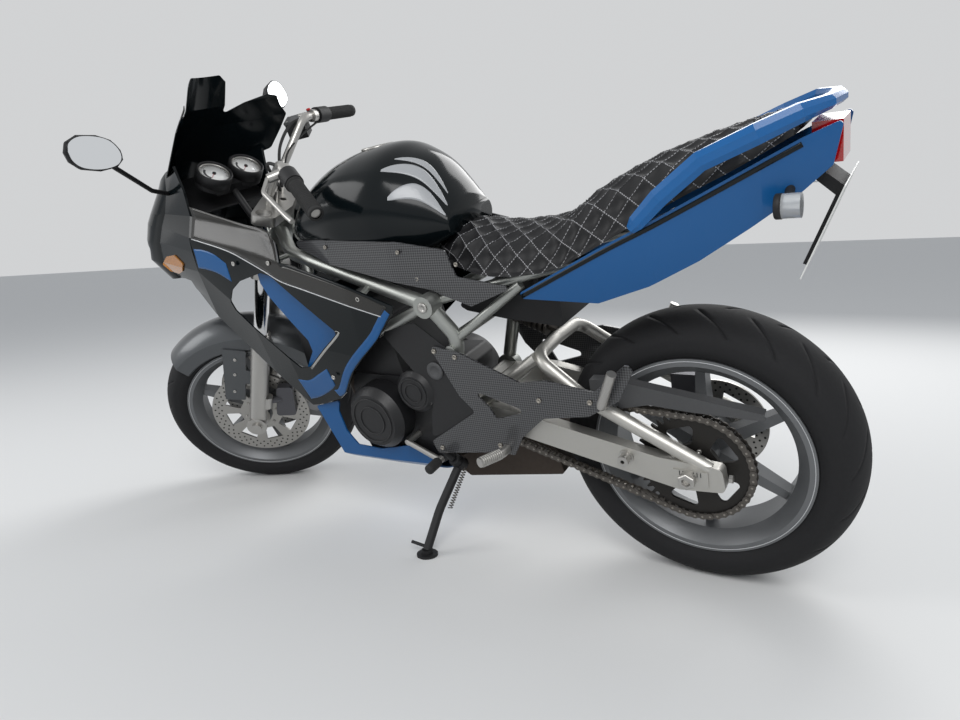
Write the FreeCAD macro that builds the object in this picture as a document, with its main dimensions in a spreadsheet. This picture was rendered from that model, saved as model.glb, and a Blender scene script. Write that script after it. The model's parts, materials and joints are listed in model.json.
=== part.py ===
import FreeCAD, Part
import Sketcher
import math
import os

from FreeCAD import Placement, Rotation, Vector

# Half-faired sport bike, parked: it leans on its side stand with the bars turned to the left stop.
# Every piece is drawn on the upright bike in millimetres: +X forward, +Y to the rider's left,
# +Z up, X = 0 at the rear axle and Z = 0 on the ground. One placement then leans the whole bike,
# and a second one turns the front end about the steering axis.

doc = FreeCAD.newDocument("SportBike")
sheet = doc.addObject("Spreadsheet::Sheet", "Sizes")

# Driving dimensions: alias, value, meaning
SIZES = [
    ("WheelBase", 1410.0, "between the axles"),
    ("RakeAngle", 25.0, "steering axis from the vertical, degrees"),
    ("Trail", 106.0, "steering axis at the ground, ahead of the front contact"),
    ("LeanAngle", 14.0, "lean to the left on the side stand, degrees"),
    ("SteerLock", 35.0, "turn of the bars to each stop, degrees"),
    ("RunGap", 0.3, "seat between pieces that touch on the real bike"),
    ("RearTyreRadius", 312.0, "rear tyre, outside"),
    ("RearTyreHalf", 80.0, "rear tyre, half width"),
    ("RearCrown", 48.0, "height of the rear tyre's round crown"),
    ("FrontTyreRadius", 300.0, "front tyre, outside"),
    ("FrontTyreHalf", 60.0, "front tyre, half width"),
    ("FrontCrown", 40.0, "height of the front tyre's round crown"),
    ("RimSeatRadius", 217.0, "bead seat of a 17 inch rim"),
    ("RimFlangeRadius", 228.0, "edge of the rim's flange"),
    ("RearRimHalf", 64.0, "rear rim, half width inside its flanges"),
    ("FrontRimHalf", 46.0, "front rim, half width inside its flanges"),
    ("RimWall", 5.0, "wall of the rim"),
    ("HubRadius", 34.0, "wheel hub, outside"),
    ("SpokeCount", 6.0, "spokes in each wheel"),
    ("SpokeWidth", 19.0, "width of a spoke"),
    ("SpokeDepth", 26.0, "depth of a spoke along the axle"),
    ("AxleRadius", 10.0, "both axles"),
    ("FrontDiscRadius", 150.0, "front brake discs"),
    ("RearDiscRadius", 110.0, "rear brake disc"),
    ("DiscThick", 5.0, "brake discs"),
    ("FrontDiscY", 60.0, "centre of a front disc, from the middle"),
    ("RearDiscY", 92.0, "centre of the rear disc, to the right"),
    ("ChainY", 96.0, "chain line, to the left"),
    ("ChainPitch", 15.875, "chain pitch"),
    ("RearTeeth", 46.0, "teeth of the rear sprocket"),
    ("FrontTeeth", 15.0, "teeth of the engine sprocket"),
    ("SprocketThick", 6.0, "sprocket plate"),
    ("ForkHalf", 106.0, "fork leg centre from the middle"),
    ("StanchionRadius", 20.5, "fork tube"),
    ("SliderRadius", 27.0, "fork lower leg"),
    ("SliderLength", 330.0, "lower leg above the axle"),
    ("ForkLength", 690.0, "fork tube's top above the axle, along the leg"),
    ("HeadTubeRadius", 30.0, "head tube, outside"),
    ("HeadTubeLength", 120.0, "head tube"),
    ("HeadTubeFoot", 790.0, "lower end of the head tube above the ground"),
    ("StemBore", 9.0, "radius of the hollow steering stem"),
    ("StemRadius", 16.0, "steering stem, outside"),
    ("MainTubeRadius", 17.0, "main frame tubes"),
    ("SubTubeRadius", 11.0, "rear subframe tubes"),
    ("BarRadius", 11.0, "handlebar tube"),
    ("GripRadius", 17.0, "hand grips"),
    ("GripLength", 118.0, "hand grips"),
    ("PanelWall", 4.0, "moulded panels"),
    ("PivotX", 545.0, "swingarm pivot, ahead of the rear axle"),
    ("PivotHeight", 415.0, "swingarm pivot above the ground"),
    ("SprocketX", 620.0, "engine sprocket, ahead of the rear axle"),
    ("SprocketHeight", 425.0, "engine sprocket above the ground"),
    ("StandX", 585.0, "side stand pivot, ahead of the rear axle"),
    ("StandY", 118.0, "side stand pivot, to the left"),
    ("StandHeight", 246.0, "side stand pivot above the ground"),
    ("StandSpread", 284.0, "side stand foot on the floor, left of the wheels' line"),
    ("StandReach", 621.0, "side stand foot, ahead of the rear axle"),
    ("StandRadius", 11.0, "side stand leg"),
    ("BobbinRadius", 12.0, "paddock stand bobbins, outside"),
    ("BobbinLength", 20.0, "paddock stand bobbins, straight part outside the collar"),
    ("BobbinCollar", 4.0, "paddock stand bobbins, collar against the swingarm"),
    ("BobbinBore", 4.3, "paddock stand bobbins, clear hole for an M8 bolt"),
    ("FenderGap", 16.0, "tyre to the inside of the front fender"),
    ("PlateWidth", 215.0, "licence plate"),
    ("PlateTall", 163.0, "licence plate"),
]
for row, (alias, value, meaning) in enumerate(SIZES, start=1):
    sheet.set("A%d" % row, alias)
    sheet.set("B%d" % row, str(value))
    sheet.set("C%d" % row, meaning)
    sheet.setAlias("B%d" % row, alias)
doc.recompute()


def size(alias):
    """Value of a driving dimension."""
    return float(sheet.get(alias))


WHEEL_BASE = size("WheelBase")
RAKE = math.radians(size("RakeAngle"))
REAR_R = size("RearTyreRadius")
FRONT_R = size("FrontTyreRadius")
GAP = size("RunGap")
WALL = size("PanelWall")

REAR_AXLE = Vector(0, 0, REAR_R)
FRONT_AXLE = Vector(WHEEL_BASE, 0, FRONT_R)
AXIS_FOOT = Vector(WHEEL_BASE + size("Trail"), 0, 0)
AXIS_UP = Vector(-math.sin(RAKE), 0, math.cos(RAKE))
AXIS_AHEAD = Vector(math.cos(RAKE), 0, math.sin(RAKE))
LEFT = Vector(0, 1, 0)


def axis_at(height):
    """Point of the steering axis at a height above the ground."""
    return AXIS_FOOT + AXIS_UP * (height / math.cos(RAKE))


def fork_point(ahead, side, up):
    """Point measured from the front axle: square to the fork, to the left, and up along it."""
    return FRONT_AXLE + AXIS_AHEAD * ahead + LEFT * side + AXIS_UP * up


# Shapes

def corner(before, here, after, radius):
    """Start, middle and end of the tangent arc that rounds a corner, or the corner itself."""
    back = before - here
    ahead = after - here
    room = 0.48 * min(back.Length, ahead.Length)
    half = back.getAngle(ahead) / 2
    if radius <= 0 or half > math.radians(89):
        return [here]
    reach = min(radius / math.tan(half), room)
    back.normalize()
    ahead.normalize()
    middle = back + ahead
    middle.normalize()
    centre = here + middle * (reach / math.cos(half))
    return [here + back * reach, centre - middle * (reach * math.tan(half)), here + ahead * reach]


def path(points, radius, closed=False):
    """Wire of straight runs with tangent arcs at the corners; radius is one number or a list."""
    count = len(points)
    radii = radius if isinstance(radius, list) else [radius] * count
    corners = []
    for i, here in enumerate(points):
        if not closed and i in (0, count - 1):
            corners.append([here])
        else:
            corners.append(corner(points[i - 1], here, points[(i + 1) % count], radii[i]))
    edges = []
    for i, bend in enumerate(corners):
        if len(bend) == 3:
            edges.append(Part.Arc(*bend).toShape())
        if i + 1 < count or closed:
            start, end = bend[-1], corners[(i + 1) % count][0]
            if start.distanceToPoint(end) > 1e-6:
                edges.append(Part.LineSegment(start, end).toShape())
    return Part.Wire(edges)


def tube(points, radius, bend=0):
    """Round bar along straight runs joined by tangent arcs: cylinders and parts of a torus."""
    pieces = []
    for edge in path(points, bend).Edges:
        start, end = edge.Vertexes[0].Point, edge.Vertexes[-1].Point
        if isinstance(edge.Curve, Part.Circle):
            centre, axis = edge.Curve.Center, edge.Curve.Axis
            begin = edge.valueAt(edge.FirstParameter)
            disc = Part.Face(Part.Wire(Part.Circle(begin, axis.cross(begin - centre), radius).toShape()))
            angle = math.degrees(edge.LastParameter - edge.FirstParameter)
            pieces.append(disc.revolve(centre, axis, angle))
        else:
            pieces.append(rod(start, end, radius))
    return fuse(pieces)


def rod(start, end, radius):
    """Straight round bar between two points."""
    along = end - start
    return Part.makeCylinder(radius, along.Length, start, along)


def block(low, high):
    """Box between its lowest and highest corner."""
    return Part.makeBox(high[0] - low[0], high[1] - low[1], high[2] - low[2], Vector(*low))


def plate(points, y_low, y_high, radius=0):
    """Side-view outline of (x, z) points, rounded and extruded from one y to another."""
    loop = path([Vector(x, y_low, z) for x, z in points], radius, closed=True)
    return Part.Face(loop).extrude(Vector(0, y_high - y_low, 0))


def fuse(shapes):
    """One solid of pieces that run into each other."""
    whole = shapes[0].multiFuse(shapes[1:]) if len(shapes) > 1 else shapes[0]
    return whole.removeSplitter()


def mirrored(shape):
    """The same piece on the other side of the bike."""
    return shape.mirror(Vector(0, 0, 0), LEFT)


def pair(shape):
    """The piece and its mirror image, as two solids that don't touch."""
    return Part.makeCompound([shape, mirrored(shape)])


def loft(wires):
    """Solid with straight runs between closed sections."""
    return Part.makeLoft(wires, True, True)


def largest(shape):
    """The biggest solid of a shape."""
    return max(shape.Solids, key=lambda solid: solid.Volume)


def arc_wall(outer, inner):
    """Closed section of a curved wall: an outer arc, an inner arc and the two ends."""
    return Part.Wire([
        Part.Arc(*outer).toShape(),
        Part.LineSegment(outer[2], inner[2]).toShape(),
        Part.Arc(inner[2], inner[1], inner[0]).toShape(),
        Part.LineSegment(inner[0], outer[0]).toShape(),
    ])


def arched(outer, inner):
    """Closed section of a wall with upright sides joined by an arc: five outer and five inner points."""
    edges = []
    for points in (outer, list(reversed(inner))):
        edges += [Part.LineSegment(points[0], points[1]).toShape(), Part.Arc(*points[1:4]).toShape(),
                  Part.LineSegment(points[3], points[4]).toShape()]
    edges.insert(3, Part.LineSegment(outer[4], inner[4]).toShape())
    edges.append(Part.LineSegment(inner[0], outer[0]).toShape())
    return Part.Wire(edges)


def polygon(points):
    """Closed wire of straight lines."""
    return Part.makePolygon(points + points[:1])


def inset_line(points, wall):
    """The (y, z) points of an open line moved to its inner side, which is on the left of its way up."""
    moved = []
    for i, here in enumerate(points):
        before, after = points[max(i - 1, 0)], points[min(i + 1, len(points) - 1)]
        ways = []
        for start, end in ((before, here), (here, after)):
            run = math.hypot(end[0] - start[0], end[1] - start[1])
            if run:
                ways.append((-(end[1] - start[1]) / run, (end[0] - start[0]) / run))
        across = [sum(way[k] for way in ways) / len(ways) for k in (0, 1)]
        reach = wall / (across[0] ** 2 + across[1] ** 2)
        moved.append((here[0] + across[0] * reach, here[1] + across[1] * reach))
    return moved


def turned(shape, centre, axis, degrees):
    """Copy of a shape turned about an axis."""
    copy = shape.copy()
    copy.rotate(centre, axis, degrees)
    return copy


# Parking: lean, pitch and steering

TYRE_SIDES = 52
CROWN_FACETS = 6


def crown_points(radius, half, crown, inset=0):
    """Half section of a tyre's crown: (side, radius) corners of its straight facets."""
    angles = [math.pi * (1 - i / CROWN_FACETS) for i in range(CROWN_FACETS + 1)]
    return [((half - inset) * math.cos(a), radius - crown + (crown - inset) * math.sin(a)) for a in angles]


def on_wheel(side, radius, step):
    """Corner of a tyre's facets, from the wheel's centre; step counts round from straight down."""
    angle = 2 * math.pi * step / TYRE_SIDES
    return Vector(radius * math.sin(angle), side, -radius * math.cos(angle))


def ride_height(turn, radius, half, crown):
    """Height of a wheel's centre above the floor, on the lowest corner of its tyre."""
    corners = [on_wheel(side, r, step) for side, r in crown_points(radius, half, crown) for step in range(TYRE_SIDES)]
    return -min(turn.multVec(corner).z for corner in corners)


STEERED = Placement(Vector(), Rotation(AXIS_UP, size("SteerLock")), AXIS_FOOT)
LEAN = Rotation(Vector(1, 0, 0), -size("LeanAngle"))


def parked():
    """Placement that sets both tyres of the leaning, steered bike on the floor."""
    pitch = 0.0
    for _ in range(8):
        turn = Rotation(LEFT, pitch).multiply(LEAN)
        rear = ride_height(turn, REAR_R, size("RearTyreHalf"), size("RearCrown"))
        front = ride_height(turn.multiply(STEERED.Rotation), FRONT_R, size("FrontTyreHalf"), size("FrontCrown"))
        drop = turn.multVec(STEERED.multVec(FRONT_AXLE) - REAR_AXLE)
        pitch += math.degrees(math.asin((drop.z - (front - rear)) / WHEEL_BASE))
    return Placement(Vector(0, 0, rear - turn.multVec(REAR_AXLE).z), turn)


PARKED = parked()
FLOOR_TO_BIKE = PARKED.inverse()

parts = []
drawn = {}


def add(obj, placement=None):
    """Keep an object as a sub-part; placement is its own place on the upright bike."""
    parts.append((obj, placement or Placement()))
    return obj


def feature(name, shape):
    """Sub-part whose shape is worked out here."""
    obj = doc.addObject("Part::Feature", name)
    obj.Label = name
    obj.Shape = shape
    drawn[name] = shape
    return add(obj, Placement(obj.Placement))


def seated(shape, *names):
    """A shape cut where pieces already drawn stand, so that it ends face to face with them."""
    for name in names:
        shape = shape.cut(drawn[name])
    return largest(shape)


FRONT_END = ["triple_clamps", "fork_tubes", "fork_sliders", "handlebar", "hand_grips", "bar_controls",
             "front_fender", "hand_levers", "front_calipers", "front_axle", "front_rim", "front_tyre", "front_discs"]


# Wheels

def plane_of(body, role):
    """Origin plane of a body, found by its role."""
    return [item for item in body.Origin.OriginFeatures if item.Role == role][0]


def sketch_on(body, name, role):
    """Empty sketch on one of the body's own origin planes."""
    sketch = body.newObject("Sketcher::SketchObject", name)
    sketch.AttachmentSupport = [(plane_of(body, role), "")]
    sketch.MapMode = "FlatFace"
    return sketch


def draw_loop(sketch, points):
    """Closed loop of straight lines in a sketch."""
    for i, point in enumerate(points):
        after = points[(i + 1) % len(points)]
        sketch.addGeometry(Part.LineSegment(Vector(*point, 0), Vector(*after, 0)))


def tyre(name, centre, radius, half, crown, flange_half):
    """Tyre of flat facets: a crown over sidewalls that come down to the beads, hollow inside."""
    wall = 9.0
    clear = 1 / math.cos(math.pi / TYRE_SIDES)
    foot = (size("RimSeatRadius") + GAP) * clear
    bead = flange_half - GAP
    flange = size("RimFlangeRadius") + 1
    outside = [(-bead, foot), (-bead, flange)] + crown_points(radius, half, crown) + [(bead, flange), (bead, foot)]
    inside = [(bead - wall, foot), (bead - wall, flange)]
    inside += [(s, r) for s, r in reversed(crown_points(radius, half, crown, wall)[::2])]
    inside += [(-bead + wall, flange), (-bead + wall, foot)]
    section = outside + inside
    faces = []
    for step in range(TYRE_SIDES):
        for i, (side, r) in enumerate(section):
            next_side, next_r = section[(i + 1) % len(section)]
            loop = [on_wheel(side, r, step), on_wheel(next_side, next_r, step),
                    on_wheel(next_side, next_r, step + 1), on_wheel(side, r, step + 1)]
            faces.append(Part.Face(Part.makePolygon(loop + loop[:1])))
    shell = Part.makeShell(faces)
    shell.sewShape()
    solid = Part.makeSolid(shell)
    if solid.Volume < 0:
        solid.reverse()
    solid.translate(centre)
    return feature(name, solid)


def rim(name, centre, half, hub_half):
    """Cast wheel: a revolved rim and hub, and tapered spokes repeated round the axle."""
    seat, flange, wall = size("RimSeatRadius"), size("RimFlangeRadius"), size("RimWall")
    well = seat - 24
    outside = [(-half - wall, flange), (-half, flange), (-half, seat), (-half + 14, seat), (-half + 26, well)]
    inside = [(-half + 24, well - wall), (-half - wall, seat - wall)]
    half_loop = inside + outside
    barrel = half_loop + [(-x, z) for x, z in reversed(half_loop)]
    ring = Part.Face(path([Vector(x, 0, z) for x, z in barrel], 0, closed=True))
    ring = ring.revolve(Vector(), Vector(1, 0, 0), 360)
    hub_radius = size("HubRadius")
    hub = Part.makeCylinder(hub_radius, 2 * hub_half, Vector(-hub_half, 0, 0), Vector(1, 0, 0))
    wide, deep = size("SpokeWidth"), size("SpokeDepth")
    root = path([Vector(-deep, -wide * 0.8, 0), Vector(deep, -wide * 0.8, 0), Vector(deep, wide * 0.8, 0),
                 Vector(-deep, wide * 0.8, 0)], 0, closed=True)
    tip = path([Vector(-deep * 0.6, -wide / 2, 0), Vector(deep * 0.6, -wide / 2, 0),
                Vector(deep * 0.6, wide / 2, 0), Vector(-deep * 0.6, wide / 2, 0)], 0, closed=True)
    root.translate(Vector(0, 0, hub_radius - 8))
    tip.translate(Vector(0, 0, well - wall + 2))
    spoke = loft([root, tip])
    count = int(size("SpokeCount"))
    spokes = [turned(spoke, Vector(), Vector(1, 0, 0), 360.0 * i / count) for i in range(count)]
    wheel = fuse([ring, hub] + spokes)
    bore = Part.makeCylinder(size("AxleRadius") + GAP, 4 * hub_half, Vector(-2 * hub_half, 0, 0), Vector(1, 0, 0))
    wheel = wheel.cut(bore)
    wheel.rotate(Vector(), Vector(0, 0, 1), 90)
    wheel.translate(centre)
    return feature(name, wheel)


def disc_body(name, radius_alias, slots):
    """Brake disc: a padded ring with slots and a row of holes repeated round it."""
    body = doc.addObject("PartDesign::Body", name)
    body.Label = name
    radius = size(radius_alias)
    outline = sketch_on(body, name + "_outline", "XZ_Plane")
    outline.addGeometry(Part.Circle(Vector(), Vector(0, 0, 1), radius))
    outline.addConstraint(Sketcher.Constraint("Radius", 0, radius))
    outline.setExpression("Constraints[0]", "Sizes.%s" % radius_alias)
    outline.addGeometry(Part.Circle(Vector(), Vector(0, 0, 1), size("HubRadius") - 8))
    ring = body.newObject("PartDesign::Pad", name + "_ring")
    ring.Profile = outline
    ring.setExpression("Length", "Sizes.DiscThick")
    ring.Midplane = True
    doc.recompute()
    slot = sketch_on(body, name + "_slot", "XZ_Plane")
    inner, outer = radius * 0.42, radius * 0.72
    spread = math.pi / slots * 0.62
    draw_loop(slot, [(inner, -inner * spread), (outer, -outer * spread), (outer, outer * spread),
                     (inner, inner * spread)])
    cut = body.newObject("PartDesign::Pocket", name + "_slots")
    cut.Profile = slot
    cut.Type = 1
    cut.Midplane = True
    doc.recompute()
    fan = body.newObject("PartDesign::PolarPattern", name + "_fan")
    fan.Originals = [cut]
    fan.Axis = (outline, ["N_Axis"])
    fan.Angle = 360
    fan.Occurrences = slots
    body.Tip = fan
    doc.recompute()
    return body


def discs():
    """Two front discs as one node on the wheel, and the rear disc."""
    flat = disc_body("front_disc_pattern", "FrontDiscRadius", 8)
    carrier = 42.0
    one = flat.Shape.copy()
    one.translate(Vector(0, size("FrontDiscY"), 0))
    hub = Part.makeCylinder(carrier, 12, Vector(0, size("FrontDiscY") - 10, 0), LEFT)
    bore = Part.makeCylinder(size("HubRadius") + GAP, 60, Vector(0, size("FrontDiscY") - 30, 0), LEFT)
    one = fuse([one, hub.cut(bore)]).cut(bore)
    both = pair(one)
    both.translate(FRONT_AXLE)
    feature("front_discs", both)
    rear = disc_body("rear_disc_pattern", "RearDiscRadius", 6)
    side = -size("RearDiscY")
    hat = Part.makeCylinder(size("HubRadius") + 12, 14, Vector(0, side, 0), LEFT)
    hat = hat.cut(Part.makeCylinder(size("HubRadius") - 8, 40, Vector(0, side - 10, 0), LEFT))
    one = rear.Shape.copy()
    one.translate(Vector(0, side, 0))
    hat = hat.cut(Part.makeCylinder(size("HubRadius") + 60, 40, Vector(0, -80 - GAP, 0), LEFT))
    one = fuse([one, hat])
    one.translate(REAR_AXLE)
    feature("rear_disc", one)


tyre("rear_tyre", REAR_AXLE, REAR_R, size("RearTyreHalf"), size("RearCrown"), size("RearRimHalf"))
tyre("front_tyre", FRONT_AXLE, FRONT_R, size("FrontTyreHalf"), size("FrontCrown"), size("FrontRimHalf"))
rim("rear_rim", REAR_AXLE, size("RearRimHalf"), 80.0)
rim("front_rim", FRONT_AXLE, size("FrontRimHalf"), 70.0)
discs()

# Chain drive

def tangent_loop(centre_a, radius_a, centre_b, radius_b, y):
    """Closed wire round two circles and along their outer tangents, at one y."""
    along = centre_b - centre_a
    slope = math.atan2(along.z, along.x)
    swing = math.acos((radius_a - radius_b) / along.Length)

    def point(centre, radius, angle):
        return Vector(centre.x + radius * math.cos(angle), y, centre.z + radius * math.sin(angle))

    top_a, top_b = point(centre_a, radius_a, slope + swing), point(centre_b, radius_b, slope + swing)
    low_a, low_b = point(centre_a, radius_a, slope - swing), point(centre_b, radius_b, slope - swing)
    return Part.Wire([
        Part.LineSegment(top_a, top_b).toShape(),
        Part.Arc(top_b, point(centre_b, radius_b, slope), low_b).toShape(),
        Part.LineSegment(low_b, low_a).toShape(),
        Part.Arc(low_a, point(centre_a, radius_a, slope + math.pi), top_a).toShape(),
    ])


def pitch_radius(teeth):
    """Pitch circle radius of a chain sprocket."""
    return size("ChainPitch") / (2 * math.sin(math.pi / teeth))


ENGINE_SPROCKET = Vector(size("SprocketX"), 0, size("SprocketHeight"))
REAR_PITCH_R = pitch_radius(size("RearTeeth"))
FRONT_PITCH_R = pitch_radius(size("FrontTeeth"))
LINK_HALF = 7.5
LINK_THICK = 2.0
LINK_INNER = 7.0


def chain():
    """Two bands of link plates either side of the sprockets, joined by rollers along the straight runs."""
    bands = []
    for y_low in (LINK_INNER, -LINK_INNER - LINK_THICK):
        y = size("ChainY") + y_low
        outer = tangent_loop(REAR_AXLE, REAR_PITCH_R + LINK_HALF, ENGINE_SPROCKET, FRONT_PITCH_R + LINK_HALF, y)
        inner = tangent_loop(REAR_AXLE, REAR_PITCH_R - LINK_HALF, ENGINE_SPROCKET, FRONT_PITCH_R - LINK_HALF, y)
        band = Part.Face(outer).cut(Part.Face(inner)).extrude(Vector(0, LINK_THICK, 0))
        bands.append(band)
    pitch_line = tangent_loop(REAR_AXLE, REAR_PITCH_R, ENGINE_SPROCKET, FRONT_PITCH_R, size("ChainY"))
    rollers = []
    for run in (pitch_line.Edges[0], pitch_line.Edges[2]):
        start, end = run.Vertexes[0].Point, run.Vertexes[1].Point
        step = 2 * size("ChainPitch")
        clear = 4 * size("ChainPitch")
        count = int((run.Length - 2 * clear) // step)
        along = (end - start).normalize()
        for i in range(count + 1):
            middle = start + along * (clear + i * step)
            corners = [middle - LEFT * (LINK_INNER + 1) + Vector(5.0 * math.cos(k * math.pi / 3), 0,
                                                                 5.0 * math.sin(k * math.pi / 3)) for k in range(6)]
            roller = Part.Face(Part.makePolygon(corners + corners[:1]))
            rollers.append(roller.extrude(LEFT * (2 * LINK_INNER + 2)))
    return feature("drive_chain", fuse(bands + rollers))


def sprocket(teeth, centre, y, bore, openings):
    """Toothed plate with a tooth at every pitch and round openings between its arms."""
    thick = size("SprocketThick")
    radius = pitch_radius(teeth)
    step = 2 * math.pi / teeth
    outline = []
    for i in range(int(teeth)):
        for reach, share in ((radius - 6.0, -0.3), (radius + 6.0, -0.1), (radius + 6.0, 0.1), (radius - 6.0, 0.3)):
            angle = (i + share) * step
            outline.append(Vector(reach * math.cos(angle), -thick / 2, reach * math.sin(angle)))
    wheel = Part.Face(Part.makePolygon(outline + outline[:1])).extrude(Vector(0, thick, 0))
    if openings:
        mid = radius * 0.62
        window = path([Vector(mid - 20, -thick, -16), Vector(mid + 20, -thick, -34), Vector(mid + 20, -thick, 34),
                       Vector(mid - 20, -thick, 16)], 9.0, closed=True)
        window = Part.Face(window).extrude(Vector(0, 2 * thick, 0))
        wheel = wheel.cut(Part.makeCompound([turned(window, Vector(), LEFT, 360.0 * i / openings)
                                             for i in range(openings)]))
    wheel = wheel.cut(Part.makeCylinder(bore, 2 * thick, Vector(0, -thick, 0), LEFT))
    wheel.translate(Vector(centre.x, y, centre.z))
    return wheel


def rear_sprocket():
    """Rear sprocket on its carrier, which seats on the wheel's hub."""
    y = size("ChainY")
    hub_radius = size("HubRadius")
    wheel = sprocket(size("RearTeeth"), REAR_AXLE, y, hub_radius + GAP, 5)
    carrier = Part.makeCylinder(hub_radius + 14, 14, Vector(0, y - 17, 0), LEFT)
    bore = Part.makeCylinder(hub_radius + GAP, 40, Vector(0, y - 24, 0), LEFT)
    carrier = carrier.cut(bore)
    carrier.translate(REAR_AXLE)
    return feature("rear_sprocket", fuse([wheel, carrier]))


chain()
rear_sprocket()

# Frame, engine and running gear

PIVOT = Vector(size("PivotX"), 0, size("PivotHeight"))
MAIN_R = size("MainTubeRadius")
BOSS = Vector(541, 165, 684)
SEAT_RAIL = Vector(-150, 70, 875)


def main_frame():
    """Head tube, two main tubes with their round bosses, and the legs down to the swingarm pivot."""
    head_low = axis_at(size("HeadTubeFoot"))
    head_high = head_low + AXIS_UP * size("HeadTubeLength")
    head = rod(head_low, head_high, size("HeadTubeRadius"))
    bore = rod(head_low - AXIS_UP * 5, head_high + AXIS_UP * 5, size("StemRadius") + GAP)
    mid = (head_low + head_high) * 0.5
    pivot_lug = Vector(PIVOT.x - 3, 130, PIVOT.z + 27)
    side = [
        tube([mid + Vector(-12, 14, 0), Vector(985, 112, 800), BOSS], MAIN_R, 120),
        rod(BOSS - LEFT * 18, BOSS + LEFT * 22, 25.0),
        tube([BOSS, Vector(500, 140, 600), pivot_lug], MAIN_R, 60),
        rod(BOSS, Vector(742, 142, 598), MAIN_R - 4),
        rod(Vector(742, 118 + GAP, 598), Vector(742, 148, 598), 12.0),
        tube([Vector(930, 119, 786), Vector(915, 148, 690), Vector(866, 148, 560)], MAIN_R - 4, 80),
        rod(Vector(866, 118 + GAP, 560), Vector(866, 152, 560), 13.0),
        rod(Vector(512, 136, 572), Vector(512, 160 - GAP, 572), 12.0),
        rod(Vector(990, 112, 798), Vector(990, 184, 798), 7.0),
        rod(Vector(712, 144, 728), Vector(712, 198, 708), 7.0),
        Part.makeCylinder(30.0, 26, Vector(PIVOT.x, 115, PIVOT.z), LEFT),
    ]
    other = [mirrored(piece) for piece in side]
    cross = rod(BOSS, mirrored_point(BOSS), MAIN_R - 3)
    low_cross = rod(Vector(500, 140, 600), Vector(500, -140, 600), MAIN_R - 4)
    whole = fuse([head] + side + other + [cross, low_cross]).cut(bore)
    hole = Part.makeCylinder(size("AxleRadius") + GAP, 400, Vector(PIVOT.x, -200, PIVOT.z), LEFT)
    return feature("main_frame", whole.cut(hole))


def mirrored_point(point):
    """The same point on the other side of the bike."""
    return Vector(point.x, -point.y, point.z)


def subframe():
    """Seat rails from the bosses to the tail, braced by the struts that show under the seat."""
    rail_r = size("SubTubeRadius")
    start = BOSS - LEFT * 22
    side = [
        tube([start, Vector(400, 112, 712), Vector(120, 100, 770), SEAT_RAIL], rail_r, 150),
        rod(Vector(498, 139, 596), Vector(330, 112, 712), rail_r),
    ]
    cross = [rod(Vector(x, -y, z), Vector(x, y, z), rail_r - 2)
             for x, y, z in ((330, 106, 727), (60, 92, 798), (-100, 75, 855))]
    return feature("subframe", seated(fuse(side + [mirrored(piece) for piece in side] + cross), "main_frame"))


CHAIN_Y = size("ChainY")


def engine():
    """Crankcase and forward-leaning cylinder block, with the round covers on both sides."""
    case = plate([(600, 262), (640, 240), (860, 236), (884, 300), (876, 440), (862, 480), (610, 480),
                  (590, 455)], -125, 125, 14)
    barrel = plate([(700, 470), (862, 470), (884, 610), (728, 640)], -118, 118, 8)
    head = plate([(722, 624), (892, 596), (904, 668), (760, 700), (734, 690)], -130, 130, 12)
    pocket = plate([(540, 340), (674, 370), (674, 480), (540, 500)], CHAIN_Y - 14, CHAIN_Y + 14, 6)
    shaft = rod(ENGINE_SPROCKET + LEFT * (CHAIN_Y - 15), ENGINE_SPROCKET + LEFT * (CHAIN_Y + 6), 14.0)
    drive = sprocket(size("FrontTeeth"), ENGINE_SPROCKET, CHAIN_Y, 8.0, 0)
    feature("engine_block", fuse([fuse([case, barrel, head]).cut(pocket), shaft, drive]))
    generator = fuse([
        Part.makeCylinder(86, 45, Vector(775, 125 + GAP, 382), LEFT),
        Part.makeCone(86, 70, 20, Vector(775, 170 + GAP, 382), LEFT),
    ])
    idler = fuse([
        Part.makeCylinder(54, 34, Vector(640, 125 + GAP, 460), LEFT),
        Part.makeCone(54, 44, 10, Vector(640, 159 + GAP, 460), LEFT),
    ])
    idler = idler.cut(Part.makeCylinder(88, 90, Vector(775, 120, 382), LEFT))
    clutch = fuse([
        Part.makeCylinder(92, 40, Vector(690, -125 - GAP, 392), -LEFT),
        Part.makeCone(92, 72, 22, Vector(690, -165 - GAP, 392), -LEFT),
    ])
    feature("engine_covers", Part.makeCompound([generator, idler, clutch]))


def radiator():
    """Core with side tanks behind the front wheel, hung from the main tubes by two stays."""
    core = block((968, -128, 430), (996, 128, 690))
    tanks = [block((962, y, 424), (1002, y + 20, 696)) for y in (-148, 128)]
    stays = [rod(Vector(982, y, 690), Vector(978, y * 0.97, 800), 9.0) for y in (-120, 120)]
    return feature("radiator", seated(fuse([core] + tanks + stays), "main_frame"))


def headers():
    """Two pipes from the cylinder head, down behind the radiator and back under the crankcase."""
    pipes = []
    for y, low_y in ((58, 26), (-58, -26)):
        pipe = tube([Vector(880, y, 634), Vector(938, y, 612), Vector(938, y, 420), Vector(925, low_y, 219),
                     Vector(611 + GAP, low_y, 219)], 17.0, 60)
        pipes.append(seated(pipe, "engine_block"))
    return feature("exhaust_headers", Part.makeCompound(pipes))


def silencer():
    """Box silencer under the engine, with its short outlet on the right."""
    box = plate([(611, 199), (611, 239), (582, 252), (574, 300), (520, 318), (380, 318), (330, 300), (297, 258),
                 (320, 231), (590, 184)], -78, 78, 8)
    outlet = rod(Vector(360, -70, 240), Vector(322, -128, 222), 22.0)
    hole = rod(Vector(350, -84, 236), Vector(318, -134, 220), 18.0)
    tyre_room = rod(REAR_AXLE - LEFT * 90, REAR_AXLE + LEFT * 90, REAR_R + 12)
    return feature("silencer", fuse([box.cut(tyre_room), outlet]).cut(hole))


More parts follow.
